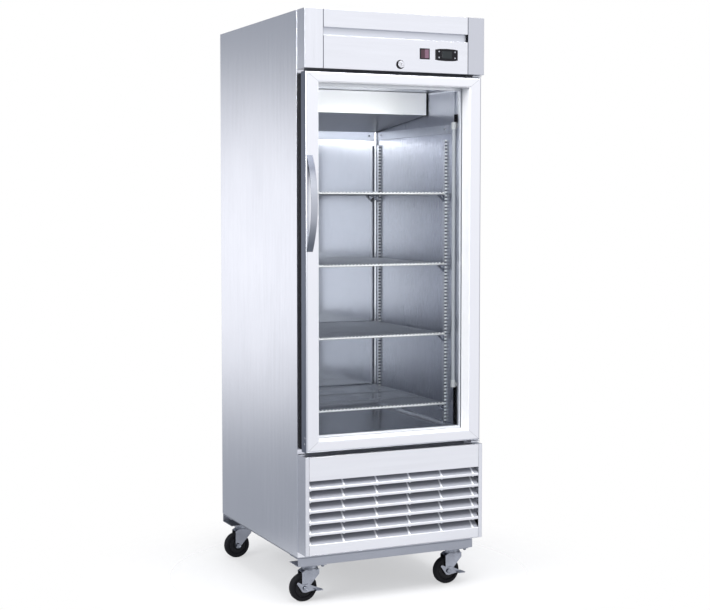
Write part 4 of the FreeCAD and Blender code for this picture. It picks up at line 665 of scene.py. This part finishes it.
def caster_details():
    """Plate bolts, and for each caster its axle nut, axle head, kingpin end and thread guards."""
    zinc = MATERIALS["zinc"]
    trail, hole_x, hole_y, plate_z, kingpin_z = 28 * MM, 37 * MM, 27 * MM, 0.126, 0.1068
    washer = ((8.2 * MM, 0), (7.6 * MM, 0.9 * MM), (5.2 * MM, 1.3 * MM), (4.4 * MM, 0.5 * MM), (0, 0.5 * MM))
    kingpin = ((10.8 * MM, 0), (10.8 * MM, 1.2 * MM), (8.6 * MM, 2.2 * MM), (0, 2.6 * MM))
    guard = ((18 * MM, 0), (19 * MM, 1.6 * MM), (31 * MM, 2.2 * MM), (33.5 * MM, 0.8 * MM), (33.5 * MM, 0))
    plates = bmesh.new()
    for end in ("front", "rear"):
        for side in ("left", "right"):
            name = f"{end}_{side}"
            fork_low, fork_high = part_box(f"caster_fork_{name}")
            wheel_low, wheel_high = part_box(f"caster_wheel_{name}")
            x, y = (wheel_low.x + wheel_high.x) / 2, (wheel_low.y + wheel_high.y) / 2
            z = (wheel_low.z + wheel_high.z) / 2
            swivel_x = x + trail
            for sx in (-1, 1):
                for sy in (-1, 1):
                    hole = (swivel_x + sx * hole_x, y + sy * hole_y, plate_z)
                    hex_bolt(plates, hole, (0, 0, -1), 4.6 * MM, 4 * MM)
            mesh = bmesh.new()
            hex_bolt(mesh, (x, fork_high.y, z), (0, 1, 0), 6 * MM, 4.5 * MM)
            lathe(mesh, basis((x, fork_low.y, z), (0, -1, 0)), washer, 28)
            lathe(mesh, basis((swivel_x, y, kingpin_z), (0, 0, -1)), kingpin, 28)
            new_piece(f"axle_nut_{name}", mesh, f"fork_{name}", zinc)
            mesh = bmesh.new()
            for face, way in ((wheel_low.y, -1), (wheel_high.y, 1)):
                lathe(mesh, basis((x, face - way * 5 * MM, z), (0, way, 0)), guard, 48)
            new_piece(f"wheel_guard_{name}", mesh, f"wheel_{name}", MATERIALS["black_plastic"])
    new_piece("plate_bolts", plates, "cabinet", zinc)


def fan_guard():
    """Rings and spokes of wire over the mouth of the condenser's shroud."""
    low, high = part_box("condenser_fan")
    x, z = (low.x + high.x) / 2, (low.z + high.z) / 2
    y = high.y + 4.2 * MM
    wire = 1.1 * MM
    mesh = bmesh.new()
    for radius in (0.055, 0.076, 0.097, 0.118):
        circle = [(radius + wire * math.cos(a), wire * math.sin(a))
                  for a in (math.pi * k / 4 for k in range(9))]
        lathe(mesh, basis((x, y, z), (0, -1, 0)), circle, 48)
    for spoke in range(6):
        angle = math.pi * (spoke + 0.5) / 3
        run = Vector((math.cos(angle), 0, math.sin(angle)))
        hub = Vector((x, y + 1.8 * MM, z))
        swept(mesh, [hub + reach * run for reach in (0.05, 0.09, 0.122)], 1.2 * MM)
    new_piece("condenser_fan_guard", mesh, "cabinet", MATERIALS["zinc"])


def compressor_details():
    """The weld round the compressor's shell and its terminal cover."""
    low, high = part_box("compressor")
    x, y = (low.x + high.x) / 2, (low.y + high.y) / 2
    mesh = bmesh.new()
    lathe(mesh, basis((x, y, low.z + 0.098), (0, 0, 1)), (
        (0.0875, -0.004), (0.0892, -0.003), (0.0900, 0), (0.0892, 0.003), (0.0875, 0.004)), 64)
    new_piece("compressor_weld", mesh, "cabinet", MATERIALS["dark_metal"])
    mesh = bmesh.new()
    place = basis((x, y + 0.086, low.z + 0.075), (0, 1, 0))
    prism(mesh, place, rounded(0.052, 0.046, 0.008), -0.006, 0.022, 0.003)
    new_piece("terminal_cover", mesh, "cabinet", MATERIALS["black_plastic"])


wire_ends()
fixings()
lock_details()
controller_display()
gasket_bellows()
caster_details()
fan_guard()
compressor_details()


# ---------------------------------------------------------------- stage, light and camera


def stage_floor():
    """A pale disc that fades out towards its rim, so that it meets the background without an edge."""
    s = Surface("studio_floor")
    radius = s.node("ShaderNodeVectorMath", {0: s.place}, operation="LENGTH").outputs["Value"]
    paint = s.node("ShaderNodeBsdfPrincipled", {
        "Base Color": s.blend(s.noise(1.5), (0.74, 0.745, 0.76), (0.79, 0.79, 0.8)),
        "Roughness": 0.6,
    }).outputs[0]
    away = s.node("ShaderNodeBsdfTransparent").outputs[0]
    fade = s.span(radius, 0.35, 1.1, 0.5, 1, smooth=True)
    s.finish(s.node("ShaderNodeMixShader", {0: fade, 1: paint, 2: away}).outputs[0])
    mesh = bpy.data.meshes.new("studio_floor")
    made = bmesh.new()
    bmesh.ops.create_circle(made, cap_ends=True, radius=5.0, segments=96)
    made.to_mesh(mesh)
    made.free()
    floor = bpy.data.objects.new("studio_floor", mesh)
    bpy.context.scene.collection.objects.link(floor)
    mesh.materials.append(s.material)


ROOM_LIGHT = (0.38, 0.40, 0.45)
# azimuth clockwise from +Y, elevation, inner and outer half angle in degrees, colour
ROOM_LOBES = (
    (152, 10, 11, 46, (1.08, 1.08, 1.12)),
    (-21, -1.9, 2, 8.8, (1.29, 1.29, 1.35)),
    (-157, 10, 8, 34, (0.85, 0.87, 0.93)),
    (0, 90, 30, 60, (0.9, 0.9, 0.93)),
)


def studio_world():
    """A grey room with soft bright areas for the steel to reflect, in front of a white backdrop."""
    world = bpy.data.worlds.new("studio_world")
    world.use_nodes = True
    tree = world.node_tree
    tree.nodes.clear()

    def node(kind, inputs=None, **settings):
        made = tree.nodes.new(kind)
        for key, setting in settings.items():
            setattr(made, key, setting)
        for key, given in (inputs or {}).items():
            if isinstance(given, bpy.types.NodeSocket):
                tree.links.new(given, made.inputs[key])
            else:
                made.inputs[key].default_value = given
        return made

    way = node("ShaderNodeTexCoord").outputs["Generated"]
    light = (*ROOM_LIGHT, 1.0)
    for azimuth, elevation, inner, outer, colour in ROOM_LOBES:
        turn, rise = math.radians(azimuth), math.radians(elevation)
        toward = (math.sin(turn) * math.cos(rise), math.cos(turn) * math.cos(rise), math.sin(rise))
        facing = node("ShaderNodeVectorMath", {0: way, 1: toward}, operation="DOT_PRODUCT").outputs["Value"]
        rim, core = math.cos(math.radians(outer)), math.cos(math.radians(inner))
        share = node("ShaderNodeMapRange", {"Value": facing, "From Min": rim, "From Max": core},
                     interpolation_type="SMOOTHSTEP").outputs[0]
        light = node("ShaderNodeMix", {0: share, 6: light, 7: (*colour, 1.0)}, data_type="RGBA").outputs[2]
    room = node("ShaderNodeBackground", {"Color": light}).outputs[0]
    backdrop = node("ShaderNodeBackground", {"Color": (1.0, 1.0, 1.0, 1.0)}).outputs[0]
    seen = node("ShaderNodeLightPath").outputs["Is Camera Ray"]
    mixed = node("ShaderNodeMixShader", {0: seen, 1: room, 2: backdrop}).outputs[0]
    node("ShaderNodeOutputWorld", {"Surface": mixed})
    bpy.context.scene.world = world


def soft_box(name, at, aim, size, power):
    """A rectangular studio light that faces a point."""
    lamp = bpy.data.lights.new(name, "AREA")
    lamp.shape = "RECTANGLE"
    lamp.size, lamp.size_y = size
    lamp.energy = power
    light = bpy.data.objects.new(name, lamp)
    light.location = at
    light.rotation_euler = (Vector(aim) - Vector(at)).to_track_quat("-Z", "Y").to_euler()
    bpy.context.scene.collection.objects.link(light)


def camera():
    """The camera: to the left of the front, at chest height, looking slightly down."""
    lens = bpy.data.cameras.new("camera")
    lens.sensor_width = 36.0
    lens.lens = 71.55
    lens.shift_y = -0.0394
    view = bpy.data.objects.new("camera", lens)
    view.location = (-2.2034, -4.8457, 1.4042)
    yaw, pitch = math.radians(24.711), math.radians(-3.005)
    view.rotation_euler = (math.pi / 2 + pitch, 0.0, -yaw)
    bpy.context.scene.collection.objects.link(view)
    bpy.context.scene.camera = view


stage_floor()
studio_world()
soft_box("left_light", (-4.0, -1.8, 3.0), (0.0, -0.3, 1.1), (2.4, 2.4), 170)
soft_box("top_light", (0.3, -2.2, 4.6), (0.0, -0.2, 0.6), (3.0, 2.0), 170)
soft_box("cabinet_light", (0.0, -0.31, 1.32), (0.0, 0.38, 1.32), (0.55, 0.95), 0.6)
soft_box("cover_light", (0.0, -0.29, 1.70), (0.0, -0.066, 1.79), (0.50, 0.04), 0.5)
camera()
bpy.context.scene.view_settings.view_transform = "Standard"
